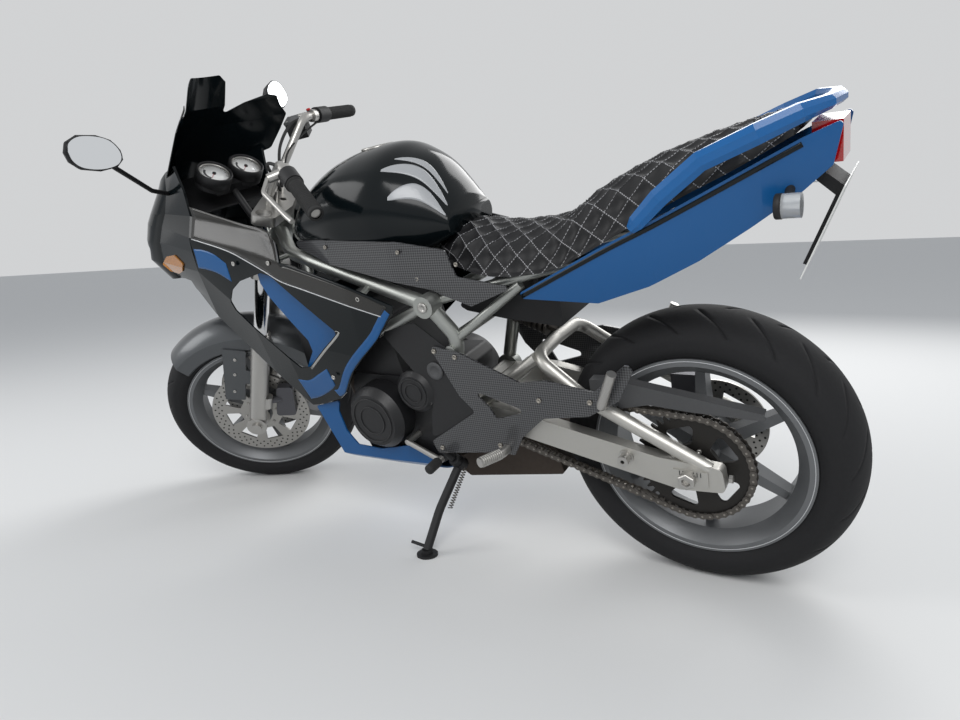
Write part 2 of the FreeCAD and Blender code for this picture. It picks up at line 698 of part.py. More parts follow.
ARM_OUTSIDE = 139.0
ARM_THICK = 28.0
HOOP_R = 15.0
BOBBIN = Vector(128, ARM_OUTSIDE + GAP, 342)
BOBBIN_END = BOBBIN + LEFT * (size("BobbinCollar") + size("BobbinLength"))


def swingarm():
    """Pivot tube, two box arms to the axle, and the brace that loops over in front of the tyre."""
    inner = ARM_OUTSIDE - ARM_THICK
    near_pivot = [(PIVOT.x + x, PIVOT.z + z) for x, z in ((-39, -15), (-45, 19), (-145, 9))]
    near_axle = [(x, REAR_R + z) for x, z in ((60, 38), (-66, 26), (-72, -26), (20, -32))]
    under_pivot = [(PIVOT.x + x, PIVOT.z + z) for x, z in ((-145, -49), (-55, -31))]
    arm = plate(near_pivot + near_axle + under_pivot, inner, ARM_OUTSIDE, 12)
    middle = ARM_OUTSIDE - ARM_THICK / 2
    hoop = Vector(PIVOT.x - 223, middle - 14, PIVOT.z + 130)
    brace = tube([Vector(-40, middle, REAR_R + 18), Vector(215, middle, PIVOT.z + 51), hoop,
                  Vector(hoop.x + 6, 0, hoop.z)], HOOP_R, 40)
    leg = rod(hoop, PIVOT + Vector(-65, middle, 9), HOOP_R - 2)
    pivot = Part.makeCylinder(18.0, 2 * inner, Vector(PIVOT.x, -inner, PIVOT.z), LEFT)
    cross = block((PIVOT.x - 105, -inner - 1, PIVOT.z - 29), (PIVOT.x - 30, inner + 1, PIVOT.z + 15))
    neck = block((PIVOT.x - 32, -104, PIVOT.z - 17), (PIVOT.x, 104, PIVOT.z + 17))
    half = [arm, brace, leg]
    whole = fuse(half + [mirrored(piece) for piece in half] + [pivot, cross, neck])
    bore = Part.makeCylinder(size("AxleRadius") + GAP, 400, Vector(PIVOT.x, -200, PIVOT.z), LEFT)
    axle_bore = Part.makeCylinder(size("AxleRadius") + GAP, 400, Vector(0, -200, REAR_R), LEFT)
    return feature("swingarm", whole.cut(bore).cut(axle_bore))


def bobbins():
    """Bored bobbins with a collar, on the outsides of the swingarm, for the cups of a paddock stand."""
    radius = size("BobbinRadius")
    barrel = rod(BOBBIN, BOBBIN_END, radius)
    collar = rod(BOBBIN, BOBBIN + LEFT * size("BobbinCollar"), radius + 4)
    bore = rod(BOBBIN - LEFT, BOBBIN_END + LEFT, size("BobbinBore"))
    return feature("paddock_bobbins", pair(fuse([barrel, collar]).cut(bore)))


def axles():
    """Rear axle with its nuts, and the swingarm pivot bolt."""
    radius = size("AxleRadius")
    rear = Part.makeCylinder(radius, 304, Vector(0, -152, REAR_R), LEFT)
    nuts = [Part.makeCylinder(17, 12, Vector(0, y, REAR_R), LEFT) for y in (139 + GAP, -151 - GAP)]
    feature("rear_axle", fuse([rear] + nuts))
    bolt = Part.makeCylinder(radius, 300, Vector(PIVOT.x, -150, PIVOT.z), LEFT)
    heads = [Part.makeCylinder(16, 8, Vector(PIVOT.x, y, PIVOT.z), LEFT) for y in (141 + GAP, -149 - GAP)]
    feature("pivot_bolt", fuse([bolt] + heads))


def shock():
    """Damper lying beside the frame, from the swingarm's brace to the frame's cross tube, with its spring."""
    low, high = Vector(346, -60, 548), Vector(484, -60, 604)
    along = (high - low).normalize()
    body = rod(low, high, 15.0)
    coils = [rod(low + along * at, low + along * (at + 7), 28.0) for at in (36, 50, 64, 78, 92)]
    seats = [rod(low + along * at, low + along * (at + 5), 30.0) for at in (24, 108)]
    return feature("rear_shock", fuse([body] + coils + seats))


def rear_caliper():
    """Two-piston caliper over the top of the rear disc, carried by a plate from the axle."""
    y = -size("RearDiscY")
    grip = block((22, y - 18, REAR_R + 62), (92, y + 22, REAR_R + 128))
    slot = block((12, y - 8, REAR_R + 50), (102, y + 8, REAR_R + 118))
    hanger = plate([(-16, REAR_R - 16), (18, REAR_R - 16), (60, REAR_R + 70), (34, REAR_R + 70)],
                   y - 18, y - 12, 4)
    bore = Part.makeCylinder(size("AxleRadius") + GAP, 60, Vector(0, y - 40, REAR_R), LEFT)
    return feature("rear_caliper", fuse([grip.cut(slot), hanger]).cut(bore))


STAND_AXIS = Vector(0.09, 0.66, 0.745).normalize()
EYE_HALF = 12.0
PIN_R = 6.0


def side_stand():
    """Stand leg with its foot, down on the floor to the left of the bike."""
    pivot = Vector(size("StandX"), size("StandY"), size("StandHeight"))
    foot = FLOOR_TO_BIKE.multVec(Vector(size("StandReach"), size("StandSpread"), 0))
    floor_up = FLOOR_TO_BIKE.Rotation.multVec(Vector(0, 0, 1))
    ahead = FLOOR_TO_BIKE.Rotation.multVec(Vector(1, 0, 0))
    leg_end = foot + floor_up * 14
    leg = tube([pivot, pivot + (leg_end - pivot) * 0.55 + Vector(8, 0, 0), leg_end], size("StandRadius"), 200)
    eye = rod(pivot - STAND_AXIS * EYE_HALF, pivot + STAND_AXIS * EYE_HALF, 17.0)
    pad = Part.makeCylinder(26.0, 6.0, foot, floor_up)
    neck = rod(foot + floor_up * 5, foot + floor_up * 16, 14.0)
    spur = rod(foot + floor_up * 22, foot + floor_up * 26 + ahead * 46, 4.0)
    whole = fuse([leg, eye, pad, neck, spur])
    bore = rod(pivot - STAND_AXIS * 30, pivot + STAND_AXIS * 30, PIN_R + GAP)
    return feature("side_stand", whole.cut(bore))


def stand_bracket():
    """Bracket on the crankcase that carries the stand's pivot pin."""
    pivot = Vector(size("StandX"), size("StandY"), size("StandHeight"))
    pin = rod(pivot - STAND_AXIS * (EYE_HALF + 6), pivot + STAND_AXIS * (EYE_HALF + 12), PIN_R)
    cap = rod(pivot - STAND_AXIS * (EYE_HALF + 6), pivot - STAND_AXIS * (EYE_HALF + GAP), PIN_R + 4)
    cheek = rod(pivot + STAND_AXIS * (EYE_HALF + GAP), pivot + STAND_AXIS * (EYE_HALF + 16), 15.0)
    start = pivot + STAND_AXIS * (EYE_HALF + 13)
    arm = rod(start, Vector(640, 130, 306), 9.0)
    return feature("stand_bracket", seated(fuse([pin, cap, cheek, arm]), "engine_block"))


main_frame()
subframe()
engine()
radiator()
headers()
silencer()
swingarm()
bobbins()
axles()
shock()
rear_caliper()
side_stand()
stand_bracket()

# Front end

FORK_Y = size("ForkHalf")
FENDER_FRONT = 36.0
FENDER_SWEEP = 96.0
FRONT_HUB_HALF = 70.0
OFFSET = (AXIS_FOOT - FRONT_AXLE).dot(AXIS_AHEAD)


def front_end():
    """Fork, clamps, bars and everything that turns with them, drawn with the bars straight."""
    top = size("ForkLength")
    tube_r, slider_r = size("StanchionRadius"), size("SliderRadius")
    slider_top = size("SliderLength")
    head_low = (axis_at(size("HeadTubeFoot")) - FRONT_AXLE).dot(AXIS_UP)
    head_high = head_low + size("HeadTubeLength")
    axle_r = size("AxleRadius")

    fork_tube = rod(fork_point(0, FORK_Y, slider_top + GAP), fork_point(0, FORK_Y, top), tube_r)
    feature("fork_tubes", pair(fork_tube))

    leg = rod(fork_point(0, FORK_Y, -20), fork_point(0, FORK_Y, slider_top), slider_r)
    foot = rod(fork_point(0, FORK_Y - slider_r - 1, 0), fork_point(0, FORK_Y + slider_r + 1, 0), 30.0)
    lug = rod(fork_point(-24, FORK_Y, 64), fork_point(-24, FORK_Y, 104), 16.0)
    bore = rod(fork_point(0, 0, 0), fork_point(0, FORK_Y + 60, 0), axle_r + GAP)
    feature("fork_sliders", pair(fuse([leg, foot, lug]).cut(bore)))

    axle = rod(fork_point(0, -FORK_Y - 34, 0), fork_point(0, FORK_Y + 34, 0), axle_r)
    outer_end = FORK_Y + slider_r + 1 + GAP
    ends = [rod(fork_point(0, side * outer_end, 0), fork_point(0, side * (outer_end + 8), 0), 15.0)
            for side in (1, -1)]
    spacers = [rod(fork_point(0, side * (FRONT_HUB_HALF + GAP), 0),
                   fork_point(0, side * (FORK_Y - slider_r - 1 - GAP), 0), 15.0) for side in (1, -1)]
    feature("front_axle", fuse([axle] + ends + spacers))

    def clamp(low, high, ahead_edge):
        """Fork clamp: a web between two split rings, from one height to another along the fork."""
        outline = [fork_point(OFFSET - 30, -34, low), fork_point(-30, -FORK_Y - 26, low),
                   fork_point(30, -FORK_Y - 26, low), fork_point(ahead_edge, 0, low),
                   fork_point(30, FORK_Y + 26, low), fork_point(-30, FORK_Y + 26, low),
                   fork_point(OFFSET - 30, 34, low)]
        return Part.Face(path(outline, 16, closed=True)).extrude(AXIS_UP * (high - low))

    low_clamp = clamp(head_low - 38, head_low - GAP, 22)
    high_clamp = clamp(head_high + GAP, head_high + 26, 22)
    stem = rod(fork_point(OFFSET, 0, head_low - 38), fork_point(OFFSET, 0, head_high + 26), size("StemRadius"))
    risers = [rod(fork_point(-8, side, head_high + 20), fork_point(-8, side, head_high + 66), 15.0)
              for side in (45, -45)]
    clamps = fuse([low_clamp, high_clamp, stem] + risers)
    for side in (1, -1):
        clamps = clamps.cut(rod(fork_point(0, side * FORK_Y, 0), fork_point(0, side * FORK_Y, top + 90), tube_r + GAP))
    hollow = rod(fork_point(OFFSET, 0, head_low - 60), fork_point(OFFSET, 0, head_high + 60), size("StemBore"))
    bar_middle = fork_point(-8, 0, head_high + 66)
    bar_r = size("BarRadius")
    clamps = clamps.cut(hollow).cut(rod(bar_middle - LEFT * 90, bar_middle + LEFT * 90, bar_r + GAP))
    feature("triple_clamps", clamps)

    grip_in, grip_out = Vector(958, 278, 1040), Vector(906, 392, 1004)
    along = (grip_out - grip_in).normalize()
    bend = grip_in - along * 104
    side = [bar_middle, bar_middle + LEFT * 80, bend, grip_out]
    bar = tube([mirrored_point(p) for p in reversed(side[1:])] + side[1:], bar_r, [0, 50, 50, 50, 50, 0])
    feature("handlebar", bar)

    sleeve = rod(grip_in, grip_out + along * 6, size("GripRadius")).cut(rod(grip_in - along, grip_out, bar_r + GAP))
    feature("hand_grips", pair(sleeve))

    control = rod(grip_in - along * 46, grip_in - along * GAP, 22.0)
    control = control.cut(rod(grip_in - along * 60, grip_out, bar_r + GAP))
    ahead = along.cross(Vector(0, 0, 1)).normalize()
    perch = grip_in - along * 60
    lever_root = perch + ahead * 44
    holder = rod(perch + ahead * (bar_r + GAP), lever_root, 11.0)
    lever = tube([lever_root, lever_root + along * 45 + ahead * 26, lever_root + along * 165 + ahead * 12,
                  lever_root + along * 185 + ahead * 8], 6.0, 30)
    clamp_ring = rod(perch - along * 9, perch + along * 9, 17.0)
    clamp_ring = clamp_ring.cut(rod(perch - along * 20, perch + along * 20, bar_r + GAP))
    feature("bar_controls", pair(control))
    lever_set = fuse([holder, lever, clamp_ring])
    reservoir = block((27, -36, -46), (78, 26, 0))
    reservoir.translate(mirrored_point(perch))
    right = fuse([mirrored(lever_set), reservoir])
    feature("hand_levers", Part.makeCompound([lever_set, right]))

    fender_r = FRONT_R + size("FenderGap")
    wide = size("FrontTyreHalf") + 14

    def fender_section(radius, half):
        return [Vector(0, -half, radius - 74), Vector(0, -half, radius - 36), Vector(0, 0, radius),
                Vector(0, half, radius - 36), Vector(0, half, radius - 74)]

    outer = fender_section(fender_r + WALL, wide)
    inner = fender_section(fender_r, wide - WALL)
    fender = Part.Face(arched(outer, inner)).revolve(Vector(), LEFT, FENDER_SWEEP)
    fender.rotate(Vector(), LEFT, FENDER_FRONT - FENDER_SWEEP)
    fender.translate(FRONT_AXLE)
    plates = []
    for side in (1, -1):
        low = side * (wide - 0.5)
        outline = [(-5, 120), (47, 120), (45, 58), (105, 50), (115, 237), (47, 240), (47, 170), (-5, 170)]
        loop = path([fork_point(ahead, low, up) for ahead, up in outline], 4, closed=True)
        plates.append(Part.Face(loop).extrude(LEFT * side * (FORK_Y - slider_r - GAP - wide + 0.5)))
    feature("front_fender", fuse([fender] + plates))

    disc_y = size("FrontDiscY")
    body = Part.Face(path([fork_point(-112, disc_y - 15, 30), fork_point(-52, disc_y - 15, 18),
                           fork_point(-46, disc_y - 15, 128), fork_point(-92, disc_y - 15, 136)], 10, closed=True))
    body = body.extrude(LEFT * 46)
    slot = rod(fork_point(0, disc_y - 8, 0), fork_point(0, disc_y + 8, 0), size("FrontDiscRadius") + 6)
    ear = rod(fork_point(-60, disc_y + 26, 84), fork_point(-22, FORK_Y, 84), 10.0)
    caliper = fuse([body.cut(slot), ear]).cut(lug).cut(leg)
    feature("front_calipers", pair(caliper))


front_end()

# Bodywork

def station(x, points, wall):
    """Section of a side panel at one x: an arc through three (y, z) points and its inner wall."""
    outer = [Vector(x, y, z) for y, z in points]
    inner = [Vector(x, y - wall, z) for y, z in points]
    return arc_wall(outer, inner)


def side_skin(rows, wall):
    """Curved wall lofted through stations: x, bottom (y, z), middle (y, z), top (y, z)."""
    return loft([station(x, [(yb, zb), (ym, zm), (yt, zt)], wall) for x, yb, zb, ym, zm, yt, zt in rows])


# Fairing side stations: x, then (y, z) of the bottom, the widest line, the crease and the cockpit rim
FAIRING_STATIONS = [
    (590, (178, 380), (196, 540), (199, 684), (196, 690)),
    (740, (176, 380), (203, 560), (201, 737), (197, 744)),
    (940, (162, 380), (205, 590), (189, 795), (172, 815)),
    (1015, (160, 380), (204, 610), (184, 816), (151, 868)),
    (1110, (162, 440), (200, 660), (179, 841), (150, 885)),
    (1285, (160, 580), (183, 780), (178, 873), (154, 925)),
]
NOSE_BACK = FAIRING_STATIONS[-1][0]
SIDE_EDGE = [(NOSE_BACK, 960), (1110, 905), (1000, 880), (990, 864), (951, 796), (923, 791), (740, 739),
             (614, 691), (622, 672), (661, 632), (688, 604), (790, 520), (850, 450), (882, 428), (975, 397),
             (1010, 391), (1112, 489), (1207, 575), (NOSE_BACK, 646)]
OPENING = [(1171, 672), (1177, 697), (1158, 730), (1122, 752), (1031, 773), (996, 764), (812, 628), (811, 618),
           (945, 520), (985, 514)]


def side_fairings():
    """Left and right fairing sides: a skin over four lines, with the large opening beside the radiator."""
    sections = []
    for x, *line in FAIRING_STATIONS:
        inner = inset_line(line, WALL)
        sections.append(polygon([Vector(x, y, z) for y, z in line + inner[::-1]]))
    panel = loft(sections).common(plate(SIDE_EDGE, 60, 260))
    panel = panel.cut(plate(OPENING, 60, 260))
    return feature("side_fairings", pair(seated(panel, "main_frame")))


def fairing_liners():
    """Inner wall that shows through each opening, folded out to the back of the fairing side."""
    wall_y = 168.0
    outline = [(1064, 741), (1045, 703), (997, 643), (947, 586), (942, 556), (975, 513), (985, 500), (945, 500),
               (798, 608), (797, 634), (985, 778), (1064, 785)]
    lip = [(797, 610), (797, 634), (985, 778), (988, 773), (801, 630), (801, 613)]
    liner = fuse([plate(outline, wall_y, wall_y + 3, 0), plate(lip, wall_y, 215, 0)])
    return feature("fairing_liners", pair(seated(liner, "side_fairings")))


# Nose levels: height at the back edge, height at the tip, tip x, cheek x, half width at the back edge
NOSE_LEVELS = [
    (600, 640, 1520, 1420, 162),
    (700, 735, 1582, 1440, 174),
    (780, 805, 1668, 1525, 183),
    (835, 865, 1655, 1512, 182),
    (873, 915, 1622, 1478, 178),
    (925, 940, 1590, 1442, 154),
    (990, 998, 1522, 1401, 150),
    (1060, 1060, 1456, 1374, 158),
]
CHEEK_Y = 120.0
NOSE_EDGE = [(NOSE_BACK + GAP, 646), (1300, 658), (1376, 720), (1380, 745), (1425, 748), (1570, 738), (1640, 752),
             (1720, 800), (1720, 905), (1545, 985), (1376, 1042), (NOSE_BACK + GAP, 1057)]
# Front indicator's outline on the nose's side, (x, z)
INDICATOR = [(1532, 790), (1482, 814), (1420, 821), (1372, 797), (1400, 774), (1446, 762), (1500, 766)]


def nose(inset):
    """Solid inside the nose, set in from its skin by a distance: an arc over the nose, then straight sides."""
    sections = []
    for z_back, z_tip, tip_x, cheek_x, back_y in NOSE_LEVELS:
        slope = (z_tip - z_back) / (tip_x - NOSE_BACK)

        def at(x, y):
            return Vector(x, y, z_back + slope * (x - NOSE_BACK))

        cheek_x, cheek_y = cheek_x - 0.6 * inset, CHEEK_Y - 0.8 * inset
        back_x, back_y = NOSE_BACK - 3 * max(inset, 0), back_y - inset
        cheek, cheek_2 = at(cheek_x, cheek_y), at(cheek_x, -cheek_y)
        sections.append(Part.Wire([
            Part.Arc(cheek, at(tip_x - inset, 0), cheek_2).toShape(),
            Part.LineSegment(cheek_2, at(back_x, -back_y)).toShape(),
            Part.LineSegment(at(back_x, -back_y), at(back_x, back_y)).toShape(),
            Part.LineSegment(at(back_x, back_y), cheek).toShape(),
        ]))
    return loft(sections)


def nose_fairing():
    """Nose shell with its lamp opening, the lamp that fills it and the indicators on its sides."""
    skin = nose(0)
    shell = skin.cut(nose(WALL)).common(plate(NOSE_EDGE, -220, 220, 4))

    def window(grow):
        points = [(-118 - grow, 838), (-96 - grow, 770 - grow), (96 + grow, 770 - grow), (118 + grow, 838),
                  (60, 876 + grow), (-60, 876 + grow)]
        loop = path([Vector(1350, y, z) for y, z in points], 14, closed=True)
        return Part.Face(loop).extrude(Vector(400, 0, 0))

    feature("nose_fairing", shell.cut(window(0)))
    lamp = nose(1.5).common(window(-GAP)).cut(nose(34))
    feature("headlight", lamp.common(block((1440, -230, 700), (1720, 230, 900))))
    lens = nose(-4.0).cut(nose(-GAP)).common(plate(INDICATOR, 60, 220, 5))
    return feature("front_indicators", pair(largest(lens)))


def cockpit_surround():
    """Black tray inside the nose, sloping up under the screen in front of the dials."""
    band = [(NOSE_BACK + GAP, 921), (1300, 928), (1440, 1006), (1440, 1011), (1300, 933), (NOSE_BACK + GAP, 926)]
    tray = nose(WALL).common(plate(band, -220, 220))
    return feature("cockpit_surround", tray)


# Windscreen levels: height, centre x, half width, how far the edges sweep back
SCREEN_LEVELS = [
    (970, 1532, 172, 160),
    (1053, 1455, 182, 184),
    (1134, 1376, 188, 190),
    (1183, 1312, 176, 166),
    (1266, 1260, 120, 79),
]
# Where the wings begin: share of the half width and share of the sweep
WING_Y, WING_X = 0.43, 0.21
# Front view of the screen, (y, z), from the middle of its foot to the middle of its top
SCREEN_EDGE = [(0, 978), (60, 992), (120, 1026), (178, 1050), (184, 1098), (186, 1134), (167, 1160), (154, 1184),
               (138, 1192), (100, 1182), (66, 1162), (60, 1240), (46, 1258), (0, 1261)]


def windscreen():
    """Screen with an arched middle and flatter wings, cut to a tall middle and lower shoulders."""
    sections = []
    for z, x, half, sweep in SCREEN_LEVELS:
        places = ((1, 1), (WING_Y, WING_X), (0, 0), (-WING_Y, WING_X), (-1, 1))
        outer = [Vector(x - sweep * back, half * out, z) for out, back in places]
        sections.append(arched(outer, [p - Vector(WALL, 0, 0) for p in outer]))
    front = SCREEN_EDGE[1:-1] + [(-y, z) for y, z in reversed(SCREEN_EDGE[1:-1])]
    loop = path([Vector(1000, y, z) for y, z in front], 8, closed=True)
    cutter = Part.Face(loop).extrude(Vector(700, 0, 0))
    return feature("windscreen", seated(loft(sections).common(cutter), "nose_fairing", "cockpit_surround"))


# Belly stations: x, half width, height of the lower corner, height of the middle, top
BELLY_STATIONS = [
    (640, 150, 252, 184, 330),
    (780, 152, 246, 182, 340),
    (920, 155, 246, 182, 430),
    (1015, 158, 250, 186, 430),
]
BELLY_EDGE = [(645, 150), (925, 150), (948, 250), (964, 290), (992, 360), (1003, 386), (914, 409), (926, 376),
              (917, 319), (887, 279), (807, 275), (712, 297), (645, 283)]


def belly_cowl():
    """Rounded tray under the engine with upright sides, cut down beside the generator cover."""
    sections = []
    for x, half, corner_z, low, top in BELLY_STATIONS:
        rings = []
        for inset in (0, WALL):
            y = half - inset
            rings.append([Vector(x, y, top), Vector(x, y, corner_z), Vector(x, 0, low + inset),
                          Vector(x, -y, corner_z), Vector(x, -y, top)])
        sections.append(arched(*rings))
    tray = loft(sections).common(plate(BELLY_EDGE, -220, 220, 5))
    posts = [rod(Vector(700, y, 207), Vector(700, y, 252), 6.0) for y in (-90, 90)]
    return feature("belly_cowl", seated(fuse([tray] + posts), "engine_block"))


# Fuel tank stations: x, bottom half width, bottom z, side half width, side z, shoulder half width,
# shoulder z, top z
TANK_STATIONS = [
    (968, 84, 822, 100, 842, 84, 872, 892),
    (900, 112, 804, 140, 864, 112, 925, 962),
    (780, 138, 786, 170, 880, 134, 968, 1010),
    (650, 138, 786, 168, 880, 126, 976, 1022),
    (560, 112, 792, 132, 862, 96, 936, 978),
    (496, 84, 818, 92, 842, 70, 866, 886),
]


def fuel_tank():
    """Tank lofted through six stations, each with a flat floor, bulged sides and a crowned top."""
    sections = []
    for x, floor_y, floor_z, side_y, side_z, top_y, shoulder_z, top_z in TANK_STATIONS:
        right = [Vector(x, -floor_y, floor_z), Vector(x, -side_y, side_z), Vector(x, -top_y, shoulder_z)]
        left = [Vector(p.x, -p.y, p.z) for p in right]
        sections.append(Part.Wire([
            Part.LineSegment(left[0], right[0]).toShape(),
            Part.Arc(*right).toShape(),
            Part.Arc(right[2], Vector(x, 0, top_z), left[2]).toShape(),
            Part.Arc(left[2], left[1], left[0]).toShape(),
        ]))
    body = loft(sections)
    cap = rod(Vector(716, 0, 1006), Vector(724, 0, 1034), 40.0).cut(body)
    feature("fuel_cap", largest(cap))
    return feature("fuel_tank", body)


# Seat stations: x, half width at the base, base z, half width at the top, edge z, crown z
SEAT_STATIONS = [
    (552, 62, 762, 56, 790, 806),
    (490, 104, 748, 88, 806, 832),
    (380, 140, 730, 112, 792, 820),
    (250, 146, 738, 112, 804, 832),
    (170, 147, 768, 110, 848, 878),
    (75, 146, 814, 106, 896, 920),
    (-25, 140, 862, 98, 928, 950),
    (-110, 124, 898, 86, 952, 969),
    (-200, 94, 940, 60, 968, 984),
]


def seat():
    """One-piece seat lofted through its stations."""
    sections = []
    for x, base_y, base_z, top_y, edge_z, crown_z in SEAT_STATIONS:
        sections.append(Part.Wire([
            Part.LineSegment(Vector(x, base_y, base_z), Vector(x, -base_y, base_z)).toShape(),
            Part.LineSegment(Vector(x, -base_y, base_z), Vector(x, -top_y, edge_z)).toShape(),
            Part.Arc(Vector(x, -top_y, edge_z), Vector(x, 0, crown_z), Vector(x, top_y, edge_z)).toShape(),
            Part.LineSegment(Vector(x, top_y, edge_z), Vector(x, base_y, base_z)).toShape(),
        ]))
    return loft(sections)


# Tail side stations: x, bottom y, bottom z, middle y, middle z, top y, top z
TAIL_STATIONS = [
    (350, 132, 650, 142, 705, 138, 760),
    (150, 140, 660, 152, 740, 149, 830),
    (30, 138, 690, 152, 780, 148, 860),
    (-60, 122, 730, 135, 815, 130, 900),
    (-150, 104, 780, 115, 860, 111, 940),
    (-280, 62, 850, 70, 920, 66, 985),
]
TAIL_EDGE = [(318, 703), (133, 791), (33, 834), (-57, 874), (-150, 916), (-207, 941), (-266, 961), (-251, 893),
             (-208, 857), (-131, 807), (-47, 757), (43, 715), (146, 682), (312, 690)]
# Grab rail stations: centre x, y, z, half height, half thickness
RAIL_STATIONS = [
    (64, 150, 824, 9, 7),
    (52, 152, 836, 15, 8),
    (8, 155, 877, 17, 9),
    (-64, 151, 930, 17, 9),
    (-150, 139, 961, 17, 9),
    (-208, 112, 981, 15, 11),
    (-240, 62, 987, 11, 14),
    (-248, 0, 988, 10, 15),
]


STALK_R = 7.0


def band(stations):
    """Flattened bar through its stations: centre x, y, z, half height and half thickness."""
    places = [Vector(*station[:3]) for station in stations]
    sections = []
    for i, (x, y, z, tall, thick) in enumerate(stations):
        along = places[min(i + 1, len(places) - 1)] - places[max(i - 1, 0)]
        side = along.cross(Vector(0, 0, 1)).normalize()
        up = side.cross(along).normalize()
        corners = [(1, 0.4), (0.5, 1), (-0.5, 1), (-1, 0.4), (-1, -0.4), (-0.5, -1), (0.5, -1), (1, -0.4)]
        sections.append(polygon([places[i] + side * (thick * a) + up * (tall * b) for a, b in corners]))
    return loft(sections)


def tail():
    """Tail side panels, the seat that sits between them, lamp, grab rails and rear mudguard."""
    way = [Vector(-190, 46 + GAP, 872), Vector(-190, 74, 872), Vector(-192, 134, 850)]
    panel = side_skin(TAIL_STATIONS, WALL).common(plate(TAIL_EDGE, 20, 200, 6))
    feature("tail_panels", pair(largest(panel.cut(tube(way, STALK_R + GAP, 20)))))
    feature("seat", seated(seat(), "fuel_tank", "tail_panels", "subframe"))
    others = [(x, -y, z, tall, thick) for x, y, z, tall, thick in reversed(RAIL_STATIONS[:-1])]
    feature("grab_rails", seated(band(RAIL_STATIONS + others), "tail_panels", "seat"))
    foot, lean = Vector(-205, 0, 714), Vector(-65, 0, 149).normalize()
    ahead = Vector(lean.z, 0, -lean.x)
    strip = [foot + lean * up + ahead * out for up, out in ((150, 1), (6, 1), (6, 8), (132, 8))]
    outline = [(-60, 842), (-214, 896)] + [(p.x, p.z) for p in strip] + [(-212, 874), (-60, 826)]
    guard = seated(plate(outline, -46, 46), "subframe")
    feature("rear_mudguard", Part.makeCompound([guard, battery_box()]))
    lamp = block((-262, -50, 892), (-216, 50, 958))
    feature("tail_light", seated(lamp, "rear_mudguard"))
    half = size("PlateWidth") / 2
    loop = polygon([foot + ahead * out + LEFT * side for side, out in ((-half, 1), (half, 1), (half, -1), (-half, -1))])
    feature("licence_plate", Part.Face(loop).extrude(lean * size("PlateTall")))
    lens = rod(Vector(-176, 142, 846), Vector(-214, 142, 846), 20.0)
    feature("rear_indicators", pair(fuse([tube(way, STALK_R, 20), lens])))


def side_covers():
    """Covers under the tank, between the main tube and the seat."""
    rows = [(960, 118, 760, 124, 800, 118, 850), (800, 160, 700, 172, 790, 168, 850),
            (620, 164, 660, 172, 760, 166, 840), (480, 146, 650, 152, 740, 142, 820),
            (310, 136, 640, 140, 710, 134, 780)]
    skin = side_skin(rows, WALL)
    edge = [(944, 834), (810, 842), (601, 828), (483, 800), (462, 742), (332, 714), (440, 674), (500, 700),
            (530, 716), (720, 764), (930, 818)]
    return feature("side_covers", pair(seated(skin.common(plate(edge, 60, 260, 6)), "fuel_tank")))


def peg_brackets():
    """Cut-out side plates that carry the pegs, bossed out from the frame."""
    edge = [(566, 585), (491, 572), (343, 508), (281, 517), (171, 499), (96, 566), (84, 550), (119, 484),
            (189, 442), (296, 426), (358, 372), (386, 322), (420, 326), (607, 298), (617, 331), (472, 424),
            (508, 462)]
    window = [(474, 482), (330, 438), (418, 412), (432, 440)]
    panel = plate(edge, 160, 165, 8).cut(plate(window, 150, 175, 8))
    feature("peg_brackets", pair(panel))
    rider = tube([Vector(404, 165 + GAP, 338), Vector(404, 184, 338), Vector(428, 246, 344)], 11.0, 20)
    feature("rider_pegs", pair(rider))
    passenger = tube([Vector(150, 165 + GAP, 478), Vector(150, 186, 478), Vector(112, 200, 560)], 10.0, 14)
    feature("passenger_pegs", pair(passenger))


def sprocket_cover():
    """Thin cover over the engine sprocket, from the frame's boss down to the generator cover."""
    outline = [(700, 606), (684, 622), (597, 637), (504, 566), (470, 417), (540, 372), (618, 339), (606, 400),
               (588, 447), (606, 480)]
    cover = plate(outline, 160 - GAP - 2.4, 160 - GAP, 6)
    return feature("sprocket_cover", seated(cover, "engine_covers", "main_frame"))


def battery_box():
    """Dark box under the seat, hung from the subframe's cross rod."""
    outline = [(520, 652), (470, 690), (262, 668), (262, 606), (400, 622), (500, 640)]
    straps = [rod(Vector(330, y, 670), Vector(330, y, 727), 6.0) for y in (-50, 50)]
    return seated(fuse([plate(outline, -80, 80, 6)] + straps), "subframe")


def foot_controls():
    """Gear lever on the left and brake pedal on the right."""
    lever = fuse([
        rod(Vector(690, 125 + GAP, 322), Vector(690, 176, 322), 8.0),
        rod(Vector(690, 172, 322), Vector(598, 176, 286), 7.0),
        rod(Vector(598, 170, 286), Vector(598, 224, 286), 9.0),
    ])
    feature("gear_lever", lever)
    pedal = fuse([
        rod(Vector(440, -165 - GAP, 330), Vector(440, -180, 330), 9.0),
        tube([Vector(440, -176, 330), Vector(520, -178, 292), Vector(600, -182, 300)], 7.0, 40),
        rod(Vector(600, -172, 300), Vector(600, -214, 300), 8.0),
    ])
    feature("brake_pedal", pedal)


def chain_guard():
    """Guard over the chain's top run: a side plate outside the chain and a strip above it."""
    side = plate([(205, 500), (150, 502), (-140, 452), (-146, 438), (0, 444), (80, 452), (140, 438), (205, 468)],
                 107.0, 109.6, 6)
    strip = plate([(205, 500), (150, 502), (-140, 452), (-140, 447), (150, 497), (205, 495)], 84.0, 109.6, 1)
    tabs = [rod(Vector(x, 108, z), Vector(x, 124, z), 5.0) for x, z in ((150, 450), (190, 467))]
    return feature("chain_guard", seated(fuse([side, strip] + tabs), "swingarm"))


# Mirror's outline as the rider sees it, (y, z)
MIRROR_EDGE = [(436, 1136), (426, 1156), (396, 1167), (350, 1160), (318, 1144), (302, 1118), (304, 1096),
               (324, 1082), (368, 1080), (412, 1092), (432, 1112)]

